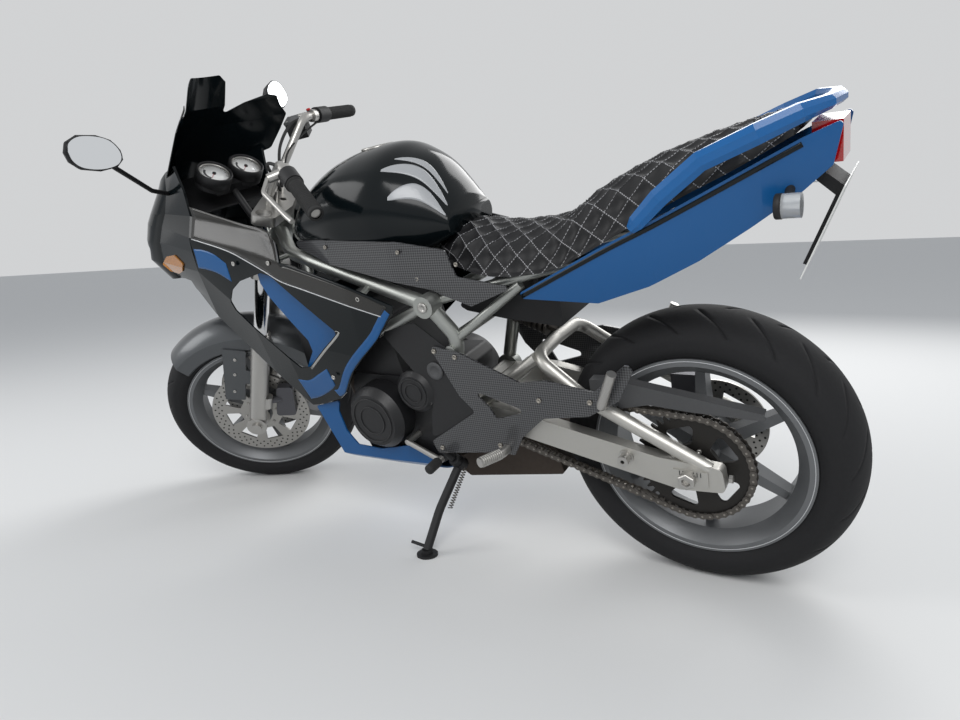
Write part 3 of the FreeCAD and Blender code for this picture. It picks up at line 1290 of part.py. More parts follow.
# The right mirror stands further up and forward on its ball joint than the left one
RIGHT_MIRROR_TURN = 28.0


def cockpit():
    """Twin round dials on a pod, carried by a stay from the head tube, and both mirrors."""
    tilt = Vector(-0.62, 0, 0.78).normalize()
    stay = tube([axis_at(850) + AXIS_AHEAD * 20, Vector(1225, 0, 880), Vector(1262, 0, 1016) - tilt * 40], 10.0, 40)
    dials = []
    for y in (56, -56):
        middle = Vector(1262, y, 1016)
        dials.append(rod(middle - tilt * 34, middle, 46.0))
    base = block((-30, -62, -52), (34, 62, -22))
    base.rotate(Vector(), LEFT, -38)
    base.translate(Vector(1262, 0, 1016))
    feature("instrument_cluster", seated(fuse(dials + [base, stay]), "main_frame"))
    root = Vector(1398, 112, 984)
    stalk = tube([root, Vector(1362, 186, 1006), Vector(1262, 352, 1108)], 6.0, 30)
    middle_y, middle_z = 368, 1122
    shell = loft([polygon([Vector(x, middle_y + (y - middle_y) * share, middle_z + (z - middle_z) * share)
                           for y, z in MIRROR_EDGE])
                  for x, share in ((1247, 0.96), (1251, 1.0), (1268, 0.9), (1282, 0.6))])
    left = fuse([stalk, shell])
    right = turned(mirrored(left), mirrored_point(root), Vector(-0.4, 0.59, 0.7), RIGHT_MIRROR_TURN)
    feature("mirrors", Part.makeCompound([seated(left, "nose_fairing"), seated(right, "nose_fairing")]))


side_fairings()
fairing_liners()
nose_fairing()
cockpit_surround()
windscreen()
belly_cowl()
fuel_tank()
tail()
side_covers()
peg_brackets()
sprocket_cover()
foot_controls()
chain_guard()
cockpit()

# Placing and writing

for obj, own in parts:
    if obj.Label in FRONT_END:
        obj.Placement = PARKED.multiply(STEERED).multiply(own)
    else:
        obj.Placement = PARKED.multiply(own)
doc.recompute()

box = FreeCAD.BoundBox()
for obj, own in parts:
    box.add(obj.Shape.optimalBoundingBox(True))
to_origin = Placement(Vector(-(box.XMin + box.XMax) / 2, -(box.YMin + box.YMax) / 2, 0), Rotation())
for obj, own in parts:
    obj.Placement = to_origin.multiply(obj.Placement)
doc.recompute()

os.makedirs("parts", exist_ok=True)
for obj in doc.Objects:
    if any(flag in obj.State for flag in ("Invalid", "Error")):
        raise RuntimeError("%s failed: %s" % (obj.Label, obj.State))
for obj, own in parts:
    if obj.Shape.isNull() or not obj.Shape.isValid():
        raise RuntimeError("%s has no valid shape" % obj.Label)
for obj, own in parts:
    obj.Shape.exportStep("parts/%s.step" % obj.Label)
print("%d sub-parts, box %.1f x %.1f x %.1f, lowest %.3f"
      % (len(parts), box.XLength, box.YLength, box.ZLength, box.ZMin))

# Places and directions that the record states, in its own frame
CHASSIS = to_origin.multiply(PARKED)
FRONT = CHASSIS.multiply(STEERED)
stand_pivot = Vector(size("StandX"), size("StandY"), size("StandHeight"))
for name, placement, point, direction in (
        ("rear_axle", CHASSIS, REAR_AXLE, LEFT),
        ("front_axle", FRONT, FRONT_AXLE, LEFT),
        ("steering_low", CHASSIS, axis_at(size("HeadTubeFoot")), AXIS_UP),
        ("stand_pivot", CHASSIS, stand_pivot, STAND_AXIS),
        ("bike", CHASSIS, Vector(), Vector(1, 0, 0)),
        ("bike_left", CHASSIS, Vector(), LEFT),
        ("bike_up", CHASSIS, Vector(), Vector(0, 0, 1)),
        ("stem_bore", FRONT, fork_point(OFFSET, 0, size("ForkLength")), AXIS_UP),
        ("bobbin_left", CHASSIS, BOBBIN_END, LEFT),
        ("bobbin_right", CHASSIS, mirrored_point(BOBBIN_END), -LEFT)):
    place = placement.multVec(point)
    way = placement.Rotation.multVec(direction)
    print("%s %.4f %.4f %.4f %.6f %.6f %.6f" % (name, *place, *way))
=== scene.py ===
# %% [markdown]
# # A sport motorcycle on its side stand
# The solids come from the CAD frame and never move. This lesson dresses them: it sets the camera and
# the studio, works out the smooth skins, hoses and small fittings with numpy, and gives each one a
# material. Lengths are metres. Most shapes are written on the upright bike (X ahead of the rear axle,
# Y to the rider's left, Z above the ground) and then put in place by one matrix, just as the solids are.

import json
import math

import bmesh
import bpy
import numpy as np
from mathutils import Matrix, Vector


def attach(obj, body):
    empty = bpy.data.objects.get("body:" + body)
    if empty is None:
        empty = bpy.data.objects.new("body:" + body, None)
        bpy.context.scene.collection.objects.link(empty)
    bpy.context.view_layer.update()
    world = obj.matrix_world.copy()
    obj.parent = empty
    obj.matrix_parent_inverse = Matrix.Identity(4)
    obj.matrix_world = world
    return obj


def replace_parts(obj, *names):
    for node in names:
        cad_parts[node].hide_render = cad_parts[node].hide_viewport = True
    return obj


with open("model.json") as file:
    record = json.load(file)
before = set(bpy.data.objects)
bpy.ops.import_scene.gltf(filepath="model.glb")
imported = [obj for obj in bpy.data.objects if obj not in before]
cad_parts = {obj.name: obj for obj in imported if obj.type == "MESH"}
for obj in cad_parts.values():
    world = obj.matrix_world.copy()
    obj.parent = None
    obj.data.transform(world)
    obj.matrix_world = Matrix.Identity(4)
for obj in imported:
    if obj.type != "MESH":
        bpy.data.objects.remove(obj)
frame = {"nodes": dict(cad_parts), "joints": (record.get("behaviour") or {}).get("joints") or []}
scene = bpy.context.scene
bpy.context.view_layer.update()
NODES = frame["nodes"]
JOINTS = {joint["name"]: joint for joint in frame["joints"]}


def link_object(name, data):
    """New object for some data, in the scene, at the origin."""
    obj = bpy.data.objects.new(name, data)
    scene.collection.objects.link(obj)
    return obj


# %% [markdown]
# The bike's own axes are read back from two joints: the rear axle gives the left direction and the
# steering axis, raked 25 degrees, gives up and ahead. Everything drawn on the upright bike goes through
# `parked`, and what turns with the bars goes through `steered`.

# %% Bike axes
RAKE = math.radians(25.0)
STEER_LOCK = math.radians(35.0)
REAR_RADIUS = 0.312
WHEEL_BASE = 1.410
FRONT_RADIUS = 0.300
TRAIL = 0.106

left_way = np.array(JOINTS["rear_wheel_spin"]["axis"])
steer_way = np.array(JOINTS["steering_turn"]["axis"])
ahead_way = np.cross(left_way, steer_way)
x_way = math.cos(RAKE) * ahead_way - math.sin(RAKE) * steer_way
z_way = math.sin(RAKE) * ahead_way + math.cos(RAKE) * steer_way
TURN = np.stack([x_way, left_way, z_way], axis=1)
ORIGIN = np.array(JOINTS["rear_wheel_spin"]["pos_m"]) - REAR_RADIUS * z_way


def parked(points):
    """Points of the upright bike, rows of x, y, z, set on the leaning, parked one."""
    return np.asarray(points, float) @ TURN.T + ORIGIN


def turn_about(points, centre, axis, angle):
    """Rodrigues' formula: points turned about an axis through a centre."""
    offset = np.asarray(points, float) - centre
    along = np.outer(offset @ axis, axis).reshape(offset.shape)
    return centre + along + math.cos(angle) * (offset - along) + math.sin(angle) * np.cross(axis, offset)


STEER_FOOT = np.array([WHEEL_BASE + TRAIL, 0.0, 0.0])
STEER_UP = np.array([-math.sin(RAKE), 0.0, math.cos(RAKE)])


def steered(points):
    """Points of the front end, drawn with the bars straight, on the parked bike at its left stop."""
    return parked(turn_about(points, STEER_FOOT, STEER_UP, STEER_LOCK))


print("bike origin", ORIGIN.round(4))

# %% [markdown]
# The camera stands where the photograph was taken: to the left and behind, a little above the seat.
# Its place is given on the upright bike and its three angles against the floor.

# %% Camera
CAMERA_PLACE = (-0.392, 1.322, 1.103)
CAMERA_YAW, CAMERA_PITCH, CAMERA_ROLL = (math.radians(a) for a in (33.28, -9.46, -2.76))
LEAN = math.radians(14.0)
LENS_MM = 26.08

ahead = np.array([math.cos(CAMERA_PITCH) * math.sin(CAMERA_YAW),
                  -math.cos(CAMERA_PITCH) * math.cos(CAMERA_YAW), math.sin(CAMERA_PITCH)])
level = np.cross(ahead, (0, 0, 1))
level /= np.linalg.norm(level)
upward = np.cross(level, ahead)
right = level * math.cos(CAMERA_ROLL) + upward * math.sin(CAMERA_ROLL)
top = -level * math.sin(CAMERA_ROLL) + upward * math.cos(CAMERA_ROLL)
unlean = np.array([[1, 0, 0], [0, math.cos(LEAN), -math.sin(LEAN)], [0, math.sin(LEAN), math.cos(LEAN)]])
view_axes = TURN @ unlean @ np.stack([right, top, -ahead], axis=1)

camera = link_object("camera", bpy.data.cameras.new("camera"))
pose = Matrix(view_axes.tolist()).to_4x4()
pose.translation = Vector(parked([CAMERA_PLACE])[0])
camera.matrix_world = pose
camera.data.lens = LENS_MM
camera.data.sensor_width = 36.0
scene.camera = camera
print("camera at", [round(v, 3) for v in camera.matrix_world.translation])

# %% [markdown]
# The studio is a pale floor that runs to the horizon, a soft world light and three broad area lamps.
# Camera, transmission and glossy rays see a near-white world and all others the soft light, so the background
# and what mirrors it stay pale while the light on the bike stays low.

# %% Studio
FLOOR_REACH = 40.0
scene.view_settings.view_transform = "Standard"


def lamp(name, place, target, width, watts):
    """Square area lamp that faces a target."""
    light = bpy.data.lights.new(name, "AREA")
    light.size = width
    light.energy = watts
    obj = link_object(name, light)
    obj.location = place
    obj.rotation_mode = "QUATERNION"
    obj.rotation_quaternion = (Vector(target) - Vector(place)).to_track_quat("-Z", "Y")


lamp("key_lamp", (-2.2, 3.2, 3.4), (0, 0, 0.5), 2.4, 120)
lamp("fill_lamp", (3.4, 2.6, 2.6), (0.2, 0, 0.6), 2.2, 60)
lamp("rim_lamp", (-0.4, -3.6, 3.0), (0, 0, 0.6), 2.6, 90)

world = bpy.data.worlds.new("studio")
scene.world = world
world.use_nodes = True
sky = world.node_tree
sky.nodes.clear()


def feed(tree, socket, value):
    """Link a socket to another node's output, or set it to a plain value."""
    if isinstance(value, bpy.types.NodeSocket):
        tree.links.new(value, socket)
    else:
        socket.default_value = value


def add_node(tree, kind, **sockets):
    """New shader node with its named sockets fed."""
    node = tree.nodes.new("ShaderNode" + kind)
    for socket, value in sockets.items():
        feed(tree, node.inputs[socket], value)
    return node


def maths(tree, operation, *values):
    """Output of a maths node over one or two values."""
    node = add_node(tree, "Math")
    node.operation = operation
    for socket, value in zip(node.inputs, values):
        feed(tree, socket, value)
    return node.outputs[0]


rays = add_node(sky, "LightPath").outputs
seen = maths(sky, "MAXIMUM", rays["Is Camera Ray"], rays["Is Transmission Ray"])
seen = maths(sky, "MAXIMUM", seen, rays["Is Glossy Ray"])
soft_light = add_node(sky, "Background", Color=(0.86, 0.90, 0.96, 1), Strength=0.55)
backdrop = add_node(sky, "Background", Color=(0.80, 0.81, 0.82, 1), Strength=0.80)
blend = add_node(sky, "MixShader", Fac=seen)
feed(sky, blend.inputs[1], soft_light.outputs[0])
feed(sky, blend.inputs[2], backdrop.outputs[0])
add_node(sky, "OutputWorld", Surface=blend.outputs[0])

floor_mesh = bpy.data.meshes.new("floor")
floor_corners = [(x * FLOOR_REACH, y * FLOOR_REACH, 0) for x, y in ((-1, -1), (1, -1), (1, 1), (-1, 1))]
floor_mesh.from_pydata(floor_corners, [], [(0, 1, 2, 3)])
floor = link_object("floor", floor_mesh)
print("studio: three lamps, world light, floor")

# %% [markdown]
# Every finish is one Principled shader. A plain number sits on the shader's own socket, and grain is a fine
# noise on Object coordinates, so it looks the same from every side.

# %% Finishes
COAT_ROUGHNESS = 0.06
GRAIN_DETAIL = 4.0
GRAIN_HEIGHT = 0.001
FINISHES = {}


def finish_of(name, colour, metallic, roughness, coat=0.0, grain=None, transmission=0.0, gloss=0.5):
    """Principled material; grain is (scale, strength, roughness change) of a fine noise, or None."""
    material = bpy.data.materials.new(name)
    material.use_nodes = True
    FINISHES[name] = material
    tree = material.node_tree
    sockets = {"Base Color": (*colour, 1), "Metallic": metallic, "Roughness": roughness, "Coat Weight": coat,
               "Coat Roughness": COAT_ROUGHNESS, "Specular IOR Level": gloss,
               "Transmission Weight": transmission}
    if grain:
        scale, strength, spread = grain
        place = add_node(tree, "TexCoord").outputs["Object"]
        noise = add_node(tree, "TexNoise", Vector=place, Scale=scale, Detail=GRAIN_DETAIL).outputs["Fac"]
        bump = add_node(tree, "Bump", Height=noise, Strength=strength, Distance=GRAIN_HEIGHT)
        span = add_node(tree, "MapRange", Value=noise, **{"To Min": roughness - spread,
                                                          "To Max": roughness + spread})
        sockets["Normal"] = bump.outputs["Normal"]
        sockets["Roughness"] = span.outputs["Result"]
    for socket, value in sockets.items():
        feed(tree, tree.nodes["Principled BSDF"].inputs[socket], value)


finish_of("floor_pale", (0.7, 0.7, 0.69), 0, 0.9)
finish_of("black_lacquer", (0.003, 0.005, 0.006), 0, 0.14, coat=0.05, gloss=0.22)
finish_of("blue_lacquer", (0.004, 0.074, 0.225), 0, 0.32, coat=0.15, gloss=0.3)
finish_of("blue_rail", (0.005, 0.096, 0.29), 0, 0.32, coat=0.2, gloss=0.3)
finish_of("frame_silver", (0.36, 0.37, 0.35), 0.85, 0.38, grain=(300, 0.08, 0.06))
finish_of("fender_silver", (0.075, 0.08, 0.085), 0.4, 0.3, coat=0.2)
finish_of("engine_black", (0.01, 0.01, 0.011), 0, 0.42, grain=(220, 0.12, 0.08), gloss=0.4)
finish_of("swingarm_alloy", (0.48, 0.47, 0.44), 0.8, 0.42, grain=(160, 0.15, 0.1))
finish_of("bright_alloy", (0.44, 0.43, 0.41), 0.9, 0.34, grain=(260, 0.08, 0.06))
finish_of("fork_chrome", (0.7, 0.7, 0.7), 1, 0.1)
finish_of("wheel_grey", (0.15, 0.155, 0.16), 0.5, 0.42, grain=(240, 0.08, 0.06))
finish_of("tyre_rubber", (0.011, 0.011, 0.012), 0, 0.8, grain=(140, 0.3, 0.06), gloss=0.3)
finish_of("disc_steel", (0.4, 0.39, 0.37), 1, 0.35, grain=(420, 0.1, 0.08))
finish_of("chain_steel", (0.12, 0.11, 0.1), 0.9, 0.45, grain=(300, 0.2, 0.1))
finish_of("sprocket_black", (0.03, 0.028, 0.026), 0.7, 0.5, grain=(220, 0.2, 0.1))
finish_of("matt_black", (0.01, 0.01, 0.011), 0, 0.58, grain=(320, 0.12, 0.06), gloss=0.35)
finish_of("guard_grey", (0.055, 0.056, 0.058), 0, 0.62, grain=(180, 0.2, 0.08))
finish_of("grip_rubber", (0.012, 0.012, 0.012), 0, 0.8, grain=(260, 0.3, 0.05))
finish_of("seat_hide", (0.007, 0.007, 0.008), 0, 0.5, grain=(420, 0.35, 0.08), gloss=0.35)
finish_of("exhaust_brown", (0.05, 0.038, 0.03), 0.6, 0.62, grain=(90, 0.3, 0.12))
finish_of("caliper_grey", (0.1, 0.1, 0.11), 0.7, 0.45)
finish_of("red_lens", (0.35, 0.004, 0.004), 0, 0.12, coat=0.6)
finish_of("clear_lens", (0.62, 0.64, 0.66), 0, 0.08, transmission=0.6)
finish_of("plate_blank", (0.62, 0.62, 0.6), 0, 0.45)
finish_of("bronze_lacquer", (0.016, 0.015, 0.013), 0, 0.26, coat=0.1, gloss=0.4)
# Pale pinstripe paint on the rims, and the painted highlight along the fairing's crease
finish_of("pinstripe_and_highlight", (0.55, 0.56, 0.57), 0.4, 0.35)
finish_of("pale_silver", (0.34, 0.35, 0.36), 0, 0.32, coat=0.2)
finish_of("hole_black", (0.01, 0.01, 0.01), 0, 0.7)
finish_of("chain_bright", (0.3, 0.28, 0.25), 0.9, 0.35)
finish_of("dial_white", (0.8, 0.8, 0.78), 0, 0.35, coat=0.5)
finish_of("mirror_glass", (0.86, 0.88, 0.9), 1, 0.02)
finish_of("amber_lens", (0.42, 0.16, 0.02), 0, 0.1, coat=0.6)
finish_of("anodised_red", (0.45, 0.02, 0.02), 0.8, 0.28)
finish_of("carbon_weave", (0.028, 0.028, 0.03), 0, 0.3, coat=0.5)
finish_of("engine_bolt", (0.1, 0.1, 0.1), 0.8, 0.4)
print("finishes", len(FINISHES))

# %% [markdown]
# Two finishes carry a pattern in their colour: the side covers' woven check, on Object coordinates, and the
# thread of the seat's seams, on its UV.

# %% Weave and stitches
THREAD_HALF = 0.020
STITCHES = 6.0
STITCH_SHARE = 0.62


def weave(material, pitch, dark, light):
    """Diagonal check: a checker turned 45 degrees about Y picks the dark or the light thread."""
    tree = material.node_tree
    place = add_node(tree, "TexCoord").outputs["Object"]
    turned = add_node(tree, "Mapping", Vector=place, Rotation=(0, math.radians(45), 0),
                      Scale=(1 / pitch, 0, 1 / pitch))
    check = add_node(tree, "TexChecker", Vector=turned.outputs["Vector"], Scale=1.0, Color1=(*dark, 1),
                     Color2=(*light, 1))
    feed(tree, tree.nodes["Principled BSDF"].inputs["Base Color"], check.outputs["Color"])


weave(FINISHES["carbon_weave"], 0.0038, (0.010, 0.010, 0.011), (0.070, 0.071, 0.075))


def stitch(material, thread):
    """Light thread where u + v or u - v is near a whole number, broken into stitches along the line."""
    tree = material.node_tree
    layer = add_node(tree, "UVMap")
    layer.uv_map = "surface"
    split = add_node(tree, "SeparateXYZ", Vector=layer.outputs["UV"]).outputs
    both = [maths(tree, kind, split["X"], split["Y"]) for kind in ("ADD", "SUBTRACT")]
    masks = []
    for across, along in (both, both[::-1]):
        near = maths(tree, "LESS_THAN", maths(tree, "PINGPONG", across, 0.5), THREAD_HALF)
        step = maths(tree, "FRACT", maths(tree, "MULTIPLY", along, STITCHES))
        masks.append(maths(tree, "MULTIPLY", near, maths(tree, "LESS_THAN", step, STITCH_SHARE)))
    base = tree.nodes["Principled BSDF"].inputs["Base Color"]
    mix = add_node(tree, "Mix")
    mix.data_type = "RGBA"
    mix.inputs["A"].default_value = base.default_value
    mix.inputs["B"].default_value = (*thread, 1)
    feed(tree, mix.inputs["Factor"], maths(tree, "MAXIMUM", *masks))
    feed(tree, base, mix.outputs["Result"])


stitch(FINISHES["seat_hide"], (0.30, 0.30, 0.31))
print("weave and stitches")

# %% [markdown]
# Each CAD node wears one finish. The nodes themselves stay where and as they are.

# %% Finish of each node
NODE_FINISH = {
    "black_lacquer": "fuel_tank nose_fairing side_fairings windscreen",
    "blue_lacquer": "tail_panels belly_cowl fairing_liners",
    "blue_rail": "grab_rails",
    "frame_silver": "main_frame subframe",
    "fender_silver": "front_fender",
    "engine_black": "engine_block engine_covers radiator sprocket_cover",
    "swingarm_alloy": "swingarm",
    "bright_alloy": "handlebar triple_clamps rider_pegs passenger_pegs gear_lever brake_pedal hand_levers "
        "fork_sliders fuel_cap rear_axle front_axle pivot_bolt paddock_bobbins",
    "fork_chrome": "fork_tubes",
    "wheel_grey": "front_rim rear_rim",
    "tyre_rubber": "front_tyre rear_tyre",
    "disc_steel": "front_discs rear_disc",
    "chain_steel": "drive_chain rear_shock",
    "sprocket_black": "rear_sprocket",
    "matt_black": "instrument_cluster bar_controls rear_mudguard mirrors side_stand stand_bracket "
        "cockpit_surround",
    "carbon_weave": "side_covers peg_brackets",
    "guard_grey": "chain_guard",
    "grip_rubber": "hand_grips",
    "seat_hide": "seat",
    "exhaust_brown": "silencer exhaust_headers",
    "caliper_grey": "front_calipers rear_caliper",
    "red_lens": "tail_light",
    "amber_lens": "front_indicators",
    "clear_lens": "headlight rear_indicators",
    "plate_blank": "licence_plate",
}


def wear(obj, finish):
    """Give an object one finish in place of what it had."""
    obj.data.materials.clear()
    obj.data.materials.append(FINISHES[finish])


for finish, names in NODE_FINISH.items():
    for name in names.split():
        wear(NODES[name], finish)
wear(floor, "floor_pale")
print("nodes dressed")

# %% [markdown]
# New pieces are grids of points worked out by formulas. `grid_piece` turns a grid into a mesh, `shell`
# gives a patch a thickness, `turned_profile` spins an outline and `tube` sweeps a circle along a line. Each
# piece lies at the origin, with its place in its mesh, and rides on one body.

# %% Meshes from grids
MM = 0.001
LEFT = np.array([0.0, 1.0, 0.0])
SIDES = (("left", 1), ("right", -1))
MERGE_GAP = 2e-6
ON_REAR = {"body": "rear_wheel"}
ON_FRONT = {"place": steered, "body": "front_wheel"}
ON_BARS = {"place": steered, "body": "steering"}


def mesh_piece(name, points, faces, finish, body="chassis", place=parked, slot=None, flat=False, uv=None):
    """Object from points and faces; doubles are merged and normals point outwards."""
    mesh = bpy.data.meshes.new(name)
    mesh.from_pydata(place(points).tolist(), [], np.asarray(faces).tolist())
    if uv is not None:
        corners = np.empty(len(mesh.loops), int)
        mesh.loops.foreach_get("vertex_index", corners)
        mesh.uv_layers.new(name="surface").data.foreach_set("uv", uv.reshape(-1, 2)[corners].ravel())
    work = bmesh.new()
    work.from_mesh(mesh)
    bmesh.ops.remove_doubles(work, verts=work.verts, dist=MERGE_GAP)
    bmesh.ops.recalc_face_normals(work, faces=work.faces)
    work.to_mesh(mesh)
    work.free()
    mesh.polygons.foreach_set("use_smooth", np.full(len(mesh.polygons), not flat))
    mesh.materials.append(FINISHES[finish])
    obj = link_object(name, mesh)
    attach(obj, body)
    return obj


def quads_of(rows, cols, ring_u=False, ring_v=False):
    """Faces of a rows by cols grid; ring_u or ring_v joins its last line to its first."""
    index = np.arange(rows * cols).reshape(rows, cols)
    index = np.concatenate([index, index[:1]]) if ring_u else index
    index = np.concatenate([index, index[:, :1]], axis=1) if ring_v else index
    return np.stack([index[:-1, :-1], index[1:, :-1], index[1:, 1:], index[:-1, 1:]], axis=-1).reshape(-1, 4)


def grid_piece(name, grid, finish, ring_u=False, ring_v=True, **how):
    """Object over a grid of points, rows by columns."""
    faces = quads_of(*grid.shape[:2], ring_u, ring_v)
    return mesh_piece(name, grid.reshape(-1, 3), faces, finish, **how)


def stamped(name, grids, finish, **how):
    """One object of many equal closed grids: an array of stamps by rows by columns."""
    count, rows, cols = grids.shape[:3]
    faces = quads_of(rows, cols, ring_v=True)
    faces = (faces[None] + np.arange(count)[:, None, None] * rows * cols).reshape(-1, 4)
    return mesh_piece(name, grids.reshape(-1, 3), faces, finish, **how)


def unit(vectors):
    """Vectors scaled to length one."""
    return vectors / np.linalg.norm(vectors, axis=-1, keepdims=True)


def normals_of(grid):
    """Unit normals of a grid: the cross product of its two directions."""
    return unit(np.cross(np.gradient(grid, axis=0), np.gradient(grid, axis=1)))


def shell(patch, lift, thick):
    """Closed wall over a patch of points: patch + normal * lift, and the same lowered by thick."""
    normal = normals_of(patch)
    outer, inner = patch + normal * lift, patch + normal * (lift - thick)
    middle = (outer + inner) / 2
    ends = [np.concatenate([middle[i], middle[i, ::-1]])[None] for i in (0, -1)]
    return np.concatenate([ends[0], np.concatenate([outer, inner[:, ::-1]], axis=1), ends[1]])


def capped(grid):
    """The grid with both end rows drawn in to their own middle."""
    ends = [np.repeat(grid[i].mean(axis=0)[None, None], grid.shape[1], axis=1) for i in (0, -1)]
    return np.concatenate([ends[0], grid, ends[1]])


def ring_frame(axis):
    """An axis made one long, and two unit directions square to it."""
    axis = unit(np.asarray(axis, float))
    side = unit(np.cross(axis, (0.31, 0.95, 0.05) if abs(axis[1]) < 0.9 else (1.0, 0.0, 0.0)))
    return axis, side, np.cross(axis, side)


def circle(side, over, sides):
    """Unit circle of even steps: side * cos + over * sin."""
    angle = np.linspace(0, 2 * math.pi, sides, endpoint=False)[:, None]
    return np.cos(angle) * side + np.sin(angle) * over


def turned_profile(profile_mm, centre, axis, sides):
    """Surface of revolution: centre + height * axis + radius * circle, for rows of radius, height."""
    axis, side, over = ring_frame(axis)
    radius, height = np.array(profile_mm, float).T[..., None, None] * MM
    return np.asarray(centre) + height * axis + radius * circle(side, over, sides)


def turned_piece(name, profile_mm, centre, axis, sides, finish, **how):
    """Object of one turned profile."""
    return grid_piece(name, turned_profile(profile_mm, centre, axis, sides), finish, **how)


def rod(radius_mm, low_mm, high_mm):
    """Eight-sided rod along the left direction, between two heights."""
    profile = [(0, low_mm), (radius_mm, low_mm), (radius_mm, high_mm), (0, high_mm)]
    return turned_profile(profile, (0, 0, 0), LEFT, 8)


def tube(line, radius, sides):
    """Closed round tube along a line of points."""
    run = unit(np.gradient(line, axis=0))
    side = unit(np.cross(run, (0.13, 0.21, 0.97)))
    over = np.cross(run, side)
    return capped(line[:, None] + radius * circle(side[:, None], over[:, None], sides))


def spline(points, count):
    """Catmull-Rom curve through points: even steps of the usual cubic of each run."""
    points = np.asarray(points, float)
    padded = np.concatenate([[2 * points[0] - points[1]], points, [2 * points[-1] - points[-2]]])
    at = np.linspace(0, len(points) - 1 - 1e-9, count)
    i = at.astype(int)
    t = (at - i).reshape(-1, *([1] * (points.ndim - 1)))
    a, b, c, d = padded[i], padded[i + 1], padded[i + 2], padded[i + 3]
    return 0.5 * (2 * b + (c - a) * t + (2 * a - 5 * b + 4 * c - d) * t**2 + (3 * b - a - 3 * c + d) * t**3)


def round_of(x, z, radius, count, y, turn=0.0):
    """Places evenly round a circle in a side view."""
    angle = np.arange(count) * 2 * math.pi / count + turn
    return np.stack([x + radius * np.cos(angle), np.full(count, y), z + radius * np.sin(angle)], 1)


def inside(share):
    """A share held between 0 and 1."""
    return np.clip(share, 0, 1)


def run_length(points, axis=0):
    """Length along rows or columns of points, from 0 at the first."""
    steps = np.linalg.norm(np.diff(points, axis=axis), axis=-1)
    return np.insert(np.cumsum(steps, axis=axis), 0, 0, axis=axis)


print("surface helpers ready")

# %% [markdown]
# Both tyres are one closed section swept round the axle. The lines across the tread are sheared, so that each
# one runs like a groove from the middle of the crown to its shoulder, and a groove is two close pairs of
# lines with its bottom between them.

# %% Tyres with cut tread
AXLES = {"rear": np.array([0, 0, REAR_RADIUS]), "front": np.array([WHEEL_BASE, 0, FRONT_RADIUS])}
# Bead, from the wall's foot inwards: distance from its outer face, and radius
BEAD = np.array([(0, 0.2285), (0, 0.2172), (-0.009, 0.2172), (-0.012, 0.240)])
WALL_BULGE = np.array([0.006, -0.001])
# One groove's lines: both edges with the bottom between them, then three on the land to the next groove
GROOVE_EDGES = np.array([-3.4, -2.4, 0.0, 2.4, 3.4]) * MM
LAND = np.array([0.25, 0.50, 0.75])
GROOVE_CUT = np.array([0, 1, 1, 1, 0, 0, 0, 0])
GROOVE_DEPTH = 0.0042
GROOVE_SWEEP = 0.30
GROOVE_CURVE = 1.4
GROOVE_FROM, GROOVE_TO = 0.10, 0.93
FADE_IN, FADE_OUT = 0.10, 0.08
WALL_SHARE = 1.4


def tyre(name, centre, radius, half, crown, bead, grooves, skim, **how):
    """(side, radius) = (half cos a, radius - crown + crown sin a) round the axle, less the groove's depth."""
    a = np.linspace(math.pi, 0, 61)
    arch = np.stack([half * np.cos(a), radius - crown + crown * np.sin(a)], 1)
    wall = np.linspace(0, 1, 7)[1:, None]
    low = BEAD + (bead, 0)
    down = arch[-1] * (1 - wall) + low[0] * wall + WALL_BULGE * np.sin(math.pi * wall)
    right = np.concatenate([down, low[1:]])
    section = np.concatenate([right[::-1] * (-1, 1), arch, right])
    beside = np.full(len(right), WALL_SHARE)
    share = np.concatenate([-beside, np.cos(a), beside])
    step = math.pi / grooves
    offsets = np.concatenate([GROOVE_EDGES / radius, LAND * step])
    theta = (np.arange(2 * grooves)[:, None] * step + offsets).ravel()
    leftward = np.repeat(np.arange(2 * grooves) % 2, len(offsets)) * 2 - 1
    outward = share * leftward[:, None]
    window = inside((outward - GROOVE_FROM) / FADE_IN) * inside((GROOVE_TO - outward) / FADE_OUT)
    depth = GROOVE_DEPTH * np.tile(GROOVE_CUT, 2 * grooves)[:, None] * window
    angle = theta[:, None] + GROOVE_SWEEP * inside(np.abs(share)) ** GROOVE_CURVE
    r = section[:, 1] - skim - depth
    points = np.stack([r * np.sin(angle), np.broadcast_to(section[:, 0], r.shape), -r * np.cos(angle)], -1)
    return grid_piece(name, centre + points, "tyre_rubber", ring_u=True, slot="tyre_rubber", **how)


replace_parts(tyre("rear_tread", AXLES["rear"], REAR_RADIUS, half=0.080, crown=0.048, bead=0.0637,
                 grooves=19, skim=0.0007, **ON_REAR), "rear_tyre")
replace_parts(tyre("front_tread", AXLES["front"], FRONT_RADIUS, half=0.060, crown=0.040, bead=0.0457,
                 grooves=17, skim=0.0017, **ON_FRONT), "front_tyre")
print("tyres")

# %% [markdown]
# Each rim gets a slim light ring on both flanges, and each disc gets its rows of drilled holes, drawn as
# flat dark plugs that stand a hair proud of the steel.

# %% Rim stripes and disc holes
def rim_stripe(name, centre, half, **how):
    """Ring of radius 221.8 to 223.4 mm on the outside of both flanges."""
    profile = [(221.8, 0), (221.8, 0.8), (223.4, 0.8), (223.4, 0), (221.8, 0)]
    both = [turned_profile(profile, centre + LEFT * flip * half, LEFT * flip, 96) for _, flip in SIDES]
    stamped(name, np.stack(both), "pinstripe_and_highlight", **how)


def holes(name, centre, y, rows, radius_mm, **how):
    """Flat plugs at (radius, count, turn) rows of a disc, on both of its faces."""
    middles = np.concatenate([round_of(0, 0, reach, count, 0, turn) for reach, count, turn in rows]) * MM
    plugs = centre + LEFT * y + middles[:, None, None] + rod(radius_mm, -3.2, 3.2)
    stamped(name, plugs, "hole_black", flat=True, **how)


